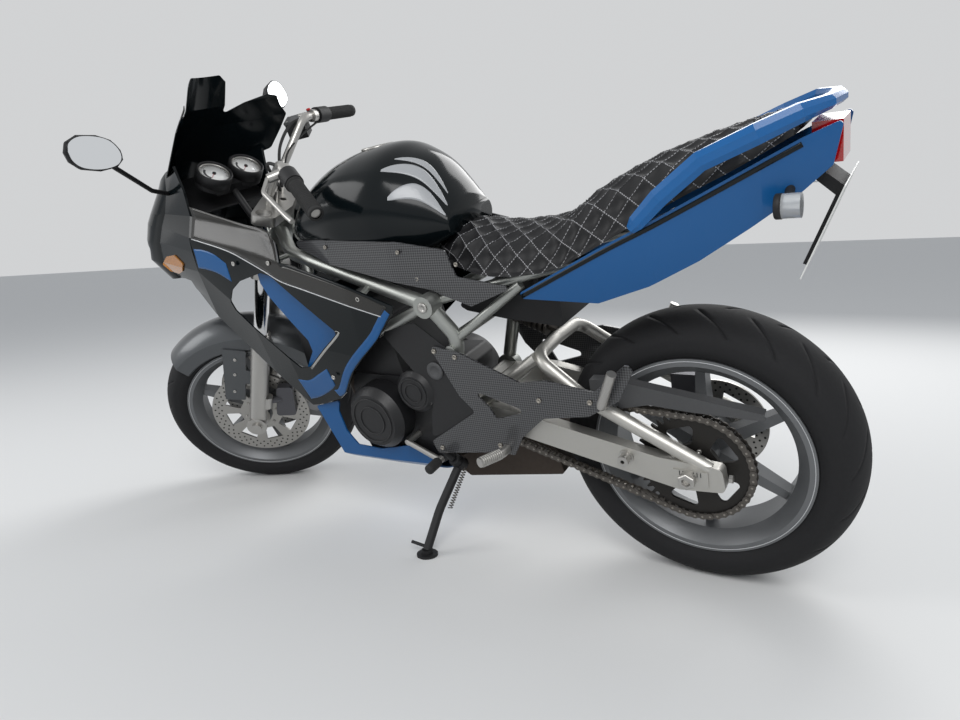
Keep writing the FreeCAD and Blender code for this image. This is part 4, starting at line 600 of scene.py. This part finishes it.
rim_stripe("rear_rim_stripe", AXLES["rear"], 0.0688, **ON_REAR)
rim_stripe("front_rim_stripe", AXLES["front"], 0.0508, **ON_FRONT)
for side, flip in SIDES:
    holes(f"front_disc_holes_{side}", AXLES["front"], 0.060 * flip,
          [(141, 36, 0), (131, 36, 0.087), (121, 36, 0)], 2.7, **ON_FRONT)
holes("rear_disc_holes", AXLES["rear"], -0.092, [(103, 28, 0), (94, 28, 0.11), (85, 28, 0)], 2.6, **ON_REAR)
print("stripes and holes")

# %% [markdown]
# The chain runs on a pitch line of two arcs and their tangents. Link plates stand between neighbouring
# pitch points, inner and outer pairs in turn. Rollers sit only where no sprocket turns between the plates.

# %% Drive chain
CHAIN_Y = 0.096
PITCH = 0.015875
# Sprockets: middle as x, z and count of teeth, the rear one first
SPROCKETS = (((0.0, REAR_RADIUS), 46), ((0.620, 0.425), 15))


def pitch_line(count):
    """Even (x, z) steps round both sprockets and along their outer tangents."""
    a, b = (np.array(middle) for middle, _ in SPROCKETS)
    ra, rb = (PITCH / (2 * math.sin(math.pi / teeth)) for _, teeth in SPROCKETS)
    along = b - a
    slope = math.atan2(along[1], along[0])
    swing = math.acos((ra - rb) / np.linalg.norm(along))
    front = slope + swing - np.linspace(0, 2 * swing, 200)
    back = slope - swing - np.linspace(0, 2 * math.pi - 2 * swing, 400)
    loop = np.concatenate([b + rb * np.stack([np.cos(front), np.sin(front)], 1),
                           a + ra * np.stack([np.cos(back), np.sin(back)], 1)])
    loop = np.concatenate([loop, loop[:1]])
    run = run_length(loop)
    at = np.linspace(0, run[-1], count, endpoint=False)
    return np.stack([np.interp(at, run, loop[:, k]) for k in (0, 1)], 1), run[-1]


# An even count of links: the pitch line's length is the same for any count of steps
LINKS = 2 * round(pitch_line(1)[1] / PITCH / 2)
rollers = pitch_line(LINKS)[0]
ahead_2d = np.roll(rollers, -1, axis=0) - rollers
over_2d = unit(np.stack([-ahead_2d[:, 1], ahead_2d[:, 0]], 1))
LOBE = 0.0072
WAIST = 0.0054
lobe_angle = np.linspace(0.5 * math.pi, 1.5 * math.pi, 6)
lobe = np.stack([LOBE * np.cos(lobe_angle) / PITCH, LOBE * np.sin(lobe_angle)], 1)
PLATE = np.concatenate([lobe, [[0.5, -WAIST]], lobe[::-1] * (-1, 1) + (1, 0), [[0.5, WAIST]]])
# Plates: which links, and both faces as distances from the chain's middle
PLATE_PAIRS = ((0, 0.0058, 0.0072), (1, 0.0074, 0.0089))
FREE_RUN = (0.125, 0.555)


def link_plates(which, y_low, y_high):
    """Closed plates of every second link: a two-lobed outline between two y, capped to its middle."""
    start, way, over = rollers[which::2], ahead_2d[which::2], over_2d[which::2]
    edge = start[:, None] + PLATE[None, :, :1] * way[:, None] + PLATE[None, :, 1:] * over[:, None]
    middle = np.broadcast_to((start + way / 2)[:, None], edge.shape)
    rings = [(middle, y_low), (edge, y_low), (edge, y_high), (middle, y_high)]
    return np.stack([np.insert(flat, 1, y, axis=-1) for flat, y in rings], 1)


plates = [link_plates(which, CHAIN_Y + flip * low, CHAIN_Y + flip * high)
          for which, low, high in PLATE_PAIRS for _, flip in SIDES]
middles = np.insert(rollers, 1, CHAIN_Y, axis=1)[:, None, None]
pin = rod(2.4, -9.6, -7.4)
between = (rollers[:, 0] > FREE_RUN[0]) & (rollers[:, 0] < FREE_RUN[1])
chain = stamped("chain_plates", np.concatenate(plates), "chain_steel", slot="chain_steel", flat=True)
stamped("chain_pins", np.concatenate([middles + pin, middles + pin * (1, -1, 1)]), "chain_bright",
        slot="chain_steel", flat=True)
stamped("chain_rollers", middles[between] + rod(4.8, -5.7, 5.7), "chain_bright", slot="chain_steel",
        flat=True)
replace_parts(chain, "drive_chain")
print("links", LINKS, "rollers", int(between.sum()))

# %% [markdown]
# The tank is the same family of sections as its solid, taken through a smooth curve, so that its lacquer
# shows no facets. The cap lies flush in its ring, and three pale sweeps follow the skin's left side.

# %% Tank
# Stations: x, floor half width and z, side half width and z, shoulder half width and z, top z
TANK = np.array([
    (968, 84, 822, 100, 842, 84, 872, 892), (934, 100, 811, 124, 854, 100, 902, 933),
    (900, 112, 804, 140, 864, 112, 925, 962), (840, 127, 793, 158, 873, 125, 951, 992),
    (780, 138, 786, 170, 880, 134, 968, 1010), (715, 140, 785, 171, 881, 132, 975, 1021),
    (650, 138, 786, 168, 880, 126, 976, 1022), (605, 127, 788, 154, 873, 113, 961, 1006),
    (560, 112, 792, 132, 862, 96, 936, 978), (525, 96, 806, 109, 850, 82, 902, 935),
    (496, 84, 818, 92, 842, 70, 866, 886)]) * MM


def arc_points(a, b, c, share):
    """Points of the circle through three (y, z) rows, from a by b to c, at shares 0 to 1 of its sweep."""
    ax, ay = (b - a).T
    bx, by = (c - a).T
    d = 2 * (ax * by - ay * bx)
    ux = (by * (ax**2 + ay**2) - ay * (bx**2 + by**2)) / d
    uy = (ax * (bx**2 + by**2) - bx * (ax**2 + ay**2)) / d
    centre = a + np.stack([ux, uy], 1)
    radius = np.hypot(ux, uy)[:, None]
    start = np.arctan2(*(a - centre).T[::-1])
    sweep = np.arctan2(*(c - centre).T[::-1]) - start
    turn = np.sign(ax * by - ay * bx)
    sweep = np.where(sweep * turn < 0, sweep + turn * 2 * math.pi, sweep)
    angle = start[:, None] + sweep[:, None] * share[None]
    return centre[:, None] + radius[..., None] * np.stack([np.cos(angle), np.sin(angle)], -1)


def with_x(x, sections):
    """Sections of (y, z) points, each given the x of its station."""
    return np.concatenate([np.broadcast_to(x[:, None, None], (*sections.shape[:2], 1)), sections], -1)


def tank_rows(rows):
    """Closed sections of the tank at its stations' rows: floor, left side, crown, right side."""
    floor_row, side_row, shoulder, crown = rows[:, 1:3], rows[:, 3:5], rows[:, 5:7], rows[:, 7:] * (0, 1)
    left = arc_points(floor_row, side_row, shoulder, np.linspace(0, 1, 17))
    top_arc = arc_points(shoulder, crown, shoulder * (-1, 1), np.linspace(0, 1, 33)[1:-1])
    return with_x(rows[:, 0], np.concatenate([left, top_arc, left[:, ::-1] * (-1, 1)], axis=1))


tank_grid = tank_rows(spline(TANK, 90))
tank = grid_piece("tank_skin", capped(tank_grid), "black_lacquer", slot="black_gloss")
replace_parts(tank, "fuel_tank")
cap_up = unit(np.array([0.06, 0.0, 1.0]))
cap_at = np.array([0.722, 0.0, 1.0145])
CAP = [(0, 0), (40, 0), (40, 5.5), (36, 7.0), (34, 6.0), (22, 6.2), (20, 7.2), (0, 7.2)]
cap = turned_piece("flush_cap", CAP, cap_at, cap_up, 48, "bright_alloy", slot="alloy")
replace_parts(cap, "fuel_cap")


def tank_patch(low, high, rows_from, rows_to, bend, count):
    """Patch of the tank between two columns and two rows of its grid, bent, and tapered to both ends."""
    rows = np.linspace(rows_from, rows_to, count)[:, None]
    taper = np.sin(np.linspace(0.02, 0.98, count) * math.pi)[:, None] ** 0.7
    middle = (low + high) / 2 + bend * np.cos(np.linspace(-1, 1, count) * math.pi / 2)[:, None]
    cols = middle + (high - low) / 2 * taper * np.linspace(-1, 1, 9)
    i, k = rows.astype(int), cols.astype(int)
    t, s = (rows - i)[..., None], (cols - k)[..., None]
    near = tank_grid[i, k] * (1 - s) + tank_grid[i, k + 1] * s
    far = tank_grid[i + 1, k] * (1 - s) + tank_grid[i + 1, k + 1] * s
    return near * (1 - t) + far * t


SWEEP_LIFT, SWEEP_WALL = 0.0005, 0.0009
# Sweeps: lowest and highest column, first and last row, bend in columns
SWEEPS = [(9.5, 13.5, 62, 87, 3.0), (14.5, 19.0, 57, 86, 3.5), (20.5, 23.0, 60, 84, 3.0)]
sweeps = np.stack([shell(tank_patch(*sweep, 40)[:, ::-1], SWEEP_LIFT, SWEEP_WALL) for sweep in SWEEPS])
stamped("tank_sweeps", sweeps, "pale_silver")
print("tank grid", tank_grid.shape)

# %% [markdown]
# The seat is one upholstered skin over the same stations as its solid. Two families of diagonal channels
# press it into diamonds; the light thread follows the same two families in the material, on the seat's UV.

# %% Quilted seat
# Stations: x, half width and z of the lower edge, half width and z of the top edge, crown z
SEAT = np.array([
    (556, 66, 766, 56, 786, 802), (490, 104, 750, 88, 804, 830), (380, 138, 734, 112, 790, 818),
    (250, 144, 742, 112, 802, 830), (170, 145, 772, 110, 846, 876), (75, 144, 818, 106, 894, 918),
    (-25, 138, 866, 98, 926, 948), (-110, 122, 902, 86, 950, 967), (-198, 92, 943, 60, 966, 982)]) * MM
SOFTENING = 4
QUILT = 0.054
ROUNDING = 0.45
PUFF = 0.0085
SINK = 0.0050
EDGE_SINK = 0.004


def inward(count, steps):
    """0 at both ends of a run of points and 1 from a number of steps inwards."""
    return inside(np.minimum(np.arange(count), np.arange(count)[::-1]) / steps)


def seat_grid(along):
    """Seat skin from one lower edge over the crown to the other, pressed in along the diamonds' sides."""
    rows = spline(SEAT, along)
    foot_row, top_row, crown = rows[:, 1:3], rows[:, 3:5], rows[:, 5:] * (0, 1)
    arc = arc_points(top_row, crown, top_row * (-1, 1), np.linspace(0, 1, 61))
    side = top_row[:, None] + (foot_row - top_row)[:, None] * np.linspace(1, 0, 26)[None, :-1, None]
    loop = np.concatenate([side, arc, side[:, ::-1] * (-1, 1)], axis=1)
    cols = loop.shape[1]
    held = np.pad(loop, ((0, 0), (SOFTENING, SOFTENING), (0, 0)), mode="edge")
    soft = np.mean([held[:, k:k + cols] for k in range(2 * SOFTENING + 1)], axis=0)
    grid = with_x(rows[:, 0], soft)
    v = run_length(grid, axis=1)
    v -= v[:, cols // 2][:, None]
    u = np.broadcast_to(run_length(grid[:, cols // 2])[:, None], v.shape)
    pillow = np.abs(np.sin(math.pi * (u + v) / QUILT) * np.sin(math.pi * (u - v) / QUILT)) ** ROUNDING
    flat_rim = inward(cols, 5) * inward(along, 6)[:, None]
    puff = (PUFF * pillow - SINK) * flat_rim - EDGE_SINK * (1 - flat_rim)
    return grid - normals_of(grid) * puff[..., None], np.stack([u, v], -1) / QUILT


skin, skin_uv = seat_grid(230)
# The underside meets in a line 1 mm below the middle of both lower edges
foot = skin[:, [0, -1]].mean(axis=1, keepdims=True) - (0, 0, 0.001)
closed = capped(np.concatenate([foot, skin, foot], axis=1))
seat = grid_piece("quilted_seat", closed, "seat_hide", ring_v=False, slot="seat_cover",
                  uv=np.pad(skin_uv, ((1, 1), (1, 1), (0, 0)), mode="edge"))
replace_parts(seat, "seat")
print("seat grid", closed.shape)

# %% [markdown]
# Bands and lines on the fairing sides follow the four lines that its panel is lofted over: at any x and z
# the skin's y comes from straight interpolations. The tail's section has three lines and is a parabola.
# Each band is made on the left and mirrored to the right. The pale line on the crease is a painted highlight.

# %% Fairing bands and lines
# Stations: x, then y, z of the bottom, the widest line, the crease and the cockpit rim
FAIRING = np.array([
    (590, 178, 380, 196, 540, 199, 684, 196, 690), (740, 176, 380, 203, 560, 201, 737, 197, 744),
    (940, 162, 380, 205, 590, 189, 795, 172, 815), (1015, 160, 380, 204, 610, 184, 816, 151, 868),
    (1110, 162, 440, 200, 660, 179, 841, 150, 885), (1285, 160, 580, 183, 780, 178, 873, 154, 925)]) * MM
# Stations: x, then y, z of the bottom, the widest line and the top
TAIL = np.array([
    (-280, 62, 850, 70, 920, 66, 985), (-150, 104, 780, 115, 860, 111, 940),
    (-60, 122, 730, 135, 815, 130, 900), (30, 138, 690, 152, 780, 148, 860),
    (150, 140, 660, 152, 740, 149, 830), (350, 132, 650, 142, 705, 138, 760)]) * MM
BAND_DEPTH = 0.0006


def skin_y(stations, x, z):
    """y of a lofted side at x, z: the parabola through a section of three lines, or straight runs of more."""
    columns = [np.interp(x, stations[:, 0], column) for column in stations.T[1:]]
    y_lines, z_lines = columns[0::2], columns[1::2]
    if len(y_lines) == 3:
        (z0, z1, z2), (y0, y1, y2) = z_lines, y_lines
        slope = (y1 - y0) / (z1 - z0)
        bend = ((y2 - y0) / (z2 - z0) - slope) / (z2 - z1)
        return y0 + (z - z0) * (slope + bend * (z - z1))
    y = y_lines[0]
    for k in range(len(y_lines) - 1):
        run = (z - z_lines[k]) / (z_lines[k + 1] - z_lines[k])
        y = y + inside(run) * (y_lines[k + 1] - y_lines[k])
    return y


def side_band(name, low_line, high_line, finish, stations=FAIRING, lift=0.0008, count=70, across=10):
    """Thin wall on both sides of the bike between two (x, z) lines of a lofted panel."""
    ends = [spline(np.array(line) * MM, count) for line in (low_line, high_line)]
    share = np.linspace(0, 1, across)[None, :, None]
    flat = ends[0][:, None] * (1 - share) + ends[1][:, None] * share
    y = skin_y(stations, flat[..., 0], flat[..., 1])
    patch = np.stack([flat[..., 0], y, flat[..., 1]], -1)
    if np.cross(patch[1, 0] - patch[0, 0], patch[0, 1] - patch[0, 0])[1] < 0:
        patch = patch[:, ::-1]
    wall = shell(patch, lift, lift + BAND_DEPTH)
    stamped(name, np.stack([wall, wall * (1, -1, 1)]), finish)


def offset_line(line, reach):
    """The (x, z) line moved to the left of its way by a distance."""
    line = np.array(line, float)
    run = np.gradient(line, axis=0)
    return line + reach * unit(np.stack([-run[:, 1], run[:, 0]], 1))


upper = [(632, 689), (740, 733), (923, 785), (951, 790), (985, 846), (1010, 872), (1110, 898), (1275, 950)]
crease = [(655, 668), (740, 692), (880, 730), (960, 752), (1010, 776), (1080, 808), (1150, 836), (1275, 870)]
side_band("fairing_upper_band", crease, upper, "bronze_lacquer")
# Painted highlight: a pale strip along the crease where the shoulder catches the light
side_band("fairing_crease_highlight", offset_line(crease, -2.4), crease, "pinstripe_and_highlight", lift=0.0012, across=3)
rear_edge = [(626, 670), (663, 629), (691, 600), (792, 517), (852, 448), (880, 432)]
side_band("fairing_blue_border", offset_line(rear_edge, 3.0), offset_line(rear_edge, 24.0), "blue_lacquer",
          across=5)
window_edge = [(945, 520), (811, 618), (812, 628)]
side_band("opening_bright_edge", offset_line(window_edge, 2.0), offset_line(window_edge, 7.5), "bright_alloy",
          lift=0.0012, across=3, count=24)
side_band("fairing_blue_foot", [(880, 470), (905, 452), (960, 425), (1004, 412)],
          [(884, 520), (925, 500), (975, 476), (1020, 474)], "blue_lacquer", count=30)
side_band("indicator_blue_patch", [(1150, 752), (1200, 775), (1240, 785), (1278, 790)],
          [(1158, 800), (1200, 826), (1240, 838), (1278, 842)], "blue_lacquer", count=30)
tail_top = [(318, 703), (133, 790), (33, 833), (-57, 873), (-150, 915), (-205, 939)]
side_band("tail_dark_edge", offset_line(tail_top, 4.0), offset_line(tail_top, 12.5), "black_lacquer",
          stations=TAIL, lift=0.0012, across=4)
print("fairing bands")

# %% [markdown]
# Both dials get a white face, ticks, a needle, a bright ring and a black hood. They stand on the pod's two
# round housings, whose middles and tilt this cell repeats.

# %% Dials
DIAL_UP = unit(np.array([-0.62, 0.0, 0.78]))
DIAL_AHEAD = np.cross(LEFT, DIAL_UP)
FACE = [(0, 0), (37.5, 0), (37.5, 0.8), (0, 0.8)]
RING = [(37.8, 0), (37.8, 4.5), (40.0, 6.0), (41.4, 4.5), (41.4, 0), (37.8, 0)]
HOOD = [(41.6, -6), (41.6, 8), (44.5, 11), (48.0, 8), (48.0, -20), (47.0, -20), (41.6, -6)]
HUB = [(0, 0), (5, 0), (5, 4), (0, 4.5)]
TICKS = 27
TICK_SWEEP = 130
TICK_REACH = 0.0335
NEEDLE_TAIL = 0.012


def on_dial(middle, ahead, side, up):
    """Point of a dial: its middle plus distances ahead, to the left and up along its tilt, in metres."""
    ahead, side, up = (np.asarray(value, float)[..., None] for value in (ahead, side, up))
    return middle + DIAL_AHEAD * ahead + LEFT * side + DIAL_UP * up


def box_grid(length, width, height):
    """Closed box as a grid: lower middle, lower outline, upper outline and upper middle."""
    outline = np.array([(-1, -1, 0), (1, -1, 0), (1, 1, 0), (-1, 1, 0)])
    up = np.array([0, 0, 1])
    rings = np.stack([outline * 0 - up, outline - up, outline + up, outline * 0 + up])
    return rings * (length / 2, width / 2, height / 2)


for dial, y in (("speed", 0.056), ("rev", -0.056)):
    middle = np.array([1.262, y, 1.016])
    turned_piece(f"{dial}_face", FACE, middle, DIAL_UP, 40, "dial_white")
    turned_piece(f"{dial}_ring", RING, middle, DIAL_UP, 48, "bright_alloy")
    turned_piece(f"{dial}_hood", HOOD, middle, DIAL_UP, 48, "matt_black")
    turn = np.radians(np.linspace(-TICK_SWEEP, TICK_SWEEP, TICKS))[:, None, None]
    stretch = np.where(np.arange(TICKS) % 3 == 0, 1.3, 0.7)[:, None, None]
    tick = box_grid(0.0052, 0.0010, 0.0004)
    reach = TICK_REACH + tick[..., 0] * stretch
    ticks = on_dial(middle, reach * np.cos(turn) + tick[..., 1] * np.sin(turn),
                    reach * np.sin(turn) - tick[..., 1] * np.cos(turn), 0.0012 + tick[..., 2])
    stamped(f"{dial}_ticks", ticks, "hole_black", flat=True)
    turn = np.radians(np.linspace(30, 125, 30))[:, None]
    reach = np.linspace(0.0225, 0.0285, 3)
    band = on_dial(middle, reach * np.cos(turn), reach * np.sin(turn), 0.0011)
    grid_piece(f"{dial}_arc", shell(band, 0.0002, 0.0004), "guard_grey")
    along, across, up = np.moveaxis(box_grid(0.030, 0.0016, 0.0008), -1, 0)
    needle = on_dial(middle, -0.6 * (along + NEEDLE_TAIL), 0.8 * (along + NEEDLE_TAIL) + across, 0.0030 + up)
    grid_piece(f"{dial}_needle", needle, "red_lens", flat=True)
    turned_piece(f"{dial}_hub", HUB, middle, DIAL_UP, 20, "matt_black")
print("dials")

# %% [markdown]
# The mirrors get their glass: the outline that the rider sees, a little smaller and a hair proud of the
# shell's rear face, in a dark rim.

# %% Mirror glass
MIRROR = np.array([
    (436, 1136), (426, 1156), (396, 1167), (350, 1160), (318, 1144), (302, 1118), (304, 1096), (324, 1082),
    (368, 1080), (412, 1092), (432, 1112)]) * MM
rounded = spline(np.concatenate([MIRROR, MIRROR[:1]]), 60)[:-1]
MIRROR_MIDDLE = np.array([0.368, 1.122])
MIRROR_ROOT = np.array([1.398, -0.112, 0.984])
MIRROR_PIN = unit(np.array([-0.4, 0.59, 0.7]))


def mirror_rings(rows):
    """The outline drawn at each x, scaled about its middle by a share."""
    return np.stack([np.insert(MIRROR_MIDDLE + (rounded - MIRROR_MIDDLE) * share, 0, x, axis=1)
                     for x, share in rows])


glass = mirror_rings([(1.2456, 0), (1.2456, 0.86), (1.2456, 0.89), (1.2468, 0.90), (1.2468, 0)])
rim = mirror_rings([(1.2474, 0.90), (1.2450, 0.905), (1.2450, 0.925), (1.2474, 0.938), (1.2474, 0.90)])


def on_right(points):
    """Left mirror's points on the right one: mirrored, then turned 28 degrees on its ball joint."""
    mirrored = np.asarray(points) * (1, -1, 1)
    return parked(turn_about(mirrored, MIRROR_ROOT, MIRROR_PIN, math.radians(28.0)))


for side, place in (("left", parked), ("right", on_right)):
    grid_piece(f"mirror_glass_{side}", glass, "mirror_glass", place=place, flat=True)
    grid_piece(f"mirror_rim_{side}", rim, "matt_black", place=place)
print("mirror glass")

# %% [markdown]
# Fasteners are one socket-head bolt, stamped where its list says. The engine covers get their recess rings,
# and the sprocket cover its round boss.

# %% Bolts and cover rings
BOLT = [(0, 0), (1.0, 0), (1.0, 0.75), (0.85, 0.95), (0.55, 0.95), (0.5, 0.45), (0, 0.45)]


def bolts(name, places, axis, radius_mm, height_mm, finish="bright_alloy", **how):
    """Round socket heads of one size at (x, y, z) places in millimetres, all along one axis."""
    head = turned_profile(np.array(BOLT) * (radius_mm, height_mm), (0, 0, 0), axis, 14)
    middles = np.array(places, float) * MM
    stamped(name, middles[:, None, None] + head, finish, **how)


# Bolts of the left side, mirrored to the right: name, radius, height, finish and places in millimetres
SIDE_BOLTS = [
    ("cover_bolts", 5, 4, "chain_bright",
     [(455, 151.6, 770), (590, 169, 806), (800, 171, 826), (560, 160, 742)]),
    ("bracket_bolts", 6, 4, "chain_bright",
     [(553, 165, 572), (498, 165, 560), (130, 165, 540), (182, 165, 476), (300, 165, 470), (420, 165, 345),
      (590, 165, 316), (150, 165, 478)]),
    ("fairing_bolts", 6, 3, "bright_alloy",
     [(712, 199, 708), (990, 189, 798), (862, 198, 500), (1120, 190, 800)]),
    ("boss_caps", 12, 4, "bright_alloy", [(541, 187, 684)]),
]
for side, flip in SIDES:
    for name, radius, height, finish, places in SIDE_BOLTS:
        bolts(f"{name}_{side}", np.array(places) * (1, flip, 1), LEFT * flip, radius, height, finish)

bolts("generator_bolts", round_of(775, 382, 78, 8, 170.3, 0.3), LEFT, 4.5, 5.0, "engine_bolt")
bolts("idler_bolts", round_of(640, 460, 48, 3, 159.3, 1.6), LEFT, 4.5, 4.0, "engine_bolt")
bolts("clutch_bolts", round_of(690, 392, 84, 8, -165.3, 0.2), -LEFT, 4.5, 5.0, "engine_bolt")
# Covers: middle, side of the bike and outer ring's radius
COVERS = (("generator", (775, 190.3, 382), 1, 58), ("idler", (640, 169.3, 460), 1, 36),
          ("clutch", (690, -187.3, 392), -1, 60))
for name, place, flip, radius in COVERS:
    rings = [turned_profile([(r, -1), (r, 2), (r + 3, 2), (r + 3, -1), (r, -1)], np.array(place) * MM,
                            LEFT * flip, 48) for r in (radius, radius * 0.62)]
    stamped(f"{name}_rings", np.stack(rings), "engine_black")
BOSS = [(0, 0), (22, 0), (22, 3), (19, 4.5), (12, 4.5), (11, 3), (0, 3)]
turned_piece("sprocket_boss", BOSS, (0.566, 0.1597, 0.520), LEFT, 36, "guard_grey")
print("bolts and rings")

# %% [markdown]
# The near end of the swingarm carries the axle's hexagon nut and the chain adjuster's plate, marks and nut.
# The stand has its spring, a helix beside the leg.

# %% Axle hardware and stand spring
NUT = np.array([(0.55, 0), (1, 0), (1, 0.85), (0.9, 1), (0.55, 1), (0.55, 0)])
MARK_GAP = 0.007
COILS = 16
COIL_RADIUS = 0.0050

turned_piece("axle_nut", NUT * (18, 9), (0, 0.1514, 0.312), LEFT, 6, "bright_alloy", flat=True)
turned_piece("adjuster_nut", NUT * (9, 7), (-0.076, 0.125, 0.312), (-1, 0, 0), 6, "bright_alloy", flat=True)
grid_piece("adjuster_plate", box_grid(0.070, 0.0030, 0.034) + (-0.004, 0.1406, 0.312), "swingarm_alloy",
           flat=True)
marks = box_grid(0.0015, 0.0006, 0.010) + (-0.004, 0.1424, 0.322)
marks = marks + (np.arange(-3, 4) * MARK_GAP)[:, None, None, None] * (1, 0, 0)
stamped("adjuster_marks", marks, "hole_black", flat=True)

turns = np.linspace(0, COILS * 2 * math.pi, COILS * 12)
spring_from, spring_to = np.array([(0.566, 0.128, 0.238), (0.585, 0.196, 0.160)])
share = np.linspace(0, 1, len(turns))[:, None]
across, over = ring_frame(spring_to - spring_from)[1:]
coil = spring_from * (1 - share) + spring_to * share
coil = coil + COIL_RADIUS * (np.cos(turns)[:, None] * across + np.sin(turns)[:, None] * over)
grid_piece("stand_spring", tube(coil, 0.0013, 6), "chain_steel", body="stand", slot="stand_steel")
print("axle hardware")

# %% [markdown]
# The grips get their ribs and end flanges, the brake its black reservoir, both pegs their ribs and the gear
# lever its toe. What turns with the bars is drawn with the bars straight and placed by `steered`.

# %% Grips, reservoir and pegs
GRIP_IN, GRIP_OUT = np.array([(0.958, 0.278, 1.040), (0.906, 0.392, 1.004)])
GRIP_BORE = 11.4
GRIP_RADIUS = 16.8
RIB_HEIGHT = 1.1
RIB_PITCH = 6.6
FLANGE_HEIGHT = 3.0

grip_way = unit(GRIP_OUT - GRIP_IN)
grip_long = np.linalg.norm(GRIP_OUT - GRIP_IN) / MM
at = np.linspace(0, grip_long + 4, 121)
ribbed_part = (at > 12) & (at < grip_long - 6)
radius = GRIP_RADIUS + RIB_HEIGHT * np.sign(np.sin(at * 2 * math.pi / RIB_PITCH)) * ribbed_part
radius = radius + FLANGE_HEIGHT * (at < 5)
profile = np.concatenate([[(GRIP_BORE, 0.0)], np.stack([radius, at], 1), [(GRIP_BORE, at[-1])]])
for side, flip in SIDES:
    ribbed = turned_profile(profile, GRIP_IN, grip_way, 28) * (1, flip, 1)
    grip = grid_piece(f"ribbed_grip_{side}", ribbed, "grip_rubber", slot="grip_rubber", **ON_BARS)
    if side == "left":
        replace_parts(grip, "hand_grips")

perch = (GRIP_IN - grip_way * 0.060) * (1, -1, 1)
cup = box_grid(0.053, 0.064, 0.048) + perch + (0.0525, -0.005, -0.023)
grid_piece("reservoir_cup", cup, "matt_black", slot="black_plastic", flat=True, **ON_BARS)
lid = box_grid(0.056, 0.067, 0.006) + perch + (0.0525, -0.005, 0.003)
grid_piece("reservoir_lid", lid, "guard_grey", slot="black_plastic", flat=True, **ON_BARS)
corners = np.array([(32.5, -30, 6), (72.5, -30, 6), (32.5, 20, 6), (72.5, 20, 6)])
bolts("reservoir_screws", perch / MM + corners, (0, 0, 1), 3.0, 2.0, **ON_BARS)
bolts("red_screws", [perch / MM + (6, 0, 17)], (0, 0, 1), 6.0, 5.0, "anodised_red", **ON_BARS)

PEG_RIB = [(10.5, -1.6), (12.6, -1.2), (12.6, 1.2), (10.5, 1.6)]
peg_start, peg_end = np.array([(0.406, 0.190, 0.3387), (0.4275, 0.2445, 0.3438)])
peg_way = unit(peg_end - peg_start)
ribs = np.stack([turned_profile(PEG_RIB, peg_start + peg_way * d, peg_way, 20)
                 for d in np.arange(0.004, 0.056, 0.0055)])
for side, flip in SIDES:
    stamped(f"rider_peg_ribs_{side}", ribs * (1, flip, 1), "bright_alloy")
TOE = [(0, 0), (11.5, 0), (12.5, 3), (12.5, 38), (11.5, 41), (0, 41)]
turned_piece("lever_toe", TOE, (0.598, 0.184, 0.286), LEFT, 20, "grip_rubber", slot="grip_rubber")
print("grips, reservoir, pegs")

# %% [markdown]
# The rear indicators get their dark stalks and shells, and the fork guards, discs and rear sprocket their
# screws. The hoses that run down the bars are tied to them, so they move with the steering.

# %% Stalks, screws and hoses
STALK = [(-0.190, 0.050, 0.872), (-0.190, 0.074, 0.872), (-0.1905, 0.100, 0.8625), (-0.192, 0.122, 0.8543)]
SHELL = [(0, -1), (20.6, -1), (20.6, 8), (19.0, 10), (0, 10)]
HOSE = [(0.985, 0.214, 1.060), (1.030, 0.160, 1.066), (1.062, 0.085, 1.036), (1.074, 0.030, 0.985),
        (1.080, 0.012, 0.950)]
WIRE = [(0.972, 0.232, 1.038), (1.012, 0.170, 1.030), (1.052, 0.100, 1.012), (1.070, 0.045, 0.975)]
SQUARE_WAY = np.array([math.cos(RAKE), 0.0, math.sin(RAKE)])


def fork_place(ahead, side, up):
    """Point from the front axle: square to the fork, to the left and up along it, in millimetres."""
    return AXLES["front"] / MM + SQUARE_WAY * ahead + LEFT * side + STEER_UP * up


for side, flip in SIDES:
    sleeve = tube(spline(STALK, 16), 0.0078, 14) * (1, flip, 1)
    grid_piece(f"stalk_sleeve_{side}", sleeve, "matt_black", slot="black_plastic")
    turned_piece(f"indicator_shell_{side}", SHELL, (-0.1845, 0.142 * flip, 0.846), (1, 0, 0), 28,
                 "matt_black", slot="black_plastic")
for side, flip in SIDES:
    bolts(f"guard_screws_{side}", [fork_place(78, flip * 78.6, up) for up in (86, 150, 205)], LEFT * flip,
          5.0, 2.5, **ON_BARS)
    bolts(f"disc_bolts_{side}", AXLES["front"] / MM + round_of(0, 0, 50, 6, flip * 62.5), LEFT * flip, 4.5,
          3.0, **ON_FRONT)
bolts("sprocket_bolts", AXLES["rear"] / MM + round_of(0, 0, 41.5, 5, 99.0, 0.63), LEFT, 5.0, 5.0, **ON_REAR)
for side, flip in SIDES:
    for name, line, count, radius, around in (("hose", HOSE, 40, 0.0042, 10), ("wire", WIRE, 36, 0.0028, 8)):
        grid_piece(f"{name}_{side}", tube(spline(line, count), radius, around) * (1, flip, 1),
                   "grip_rubber", slot="black_plastic", **ON_BARS)
print("stalks, screws and hoses")
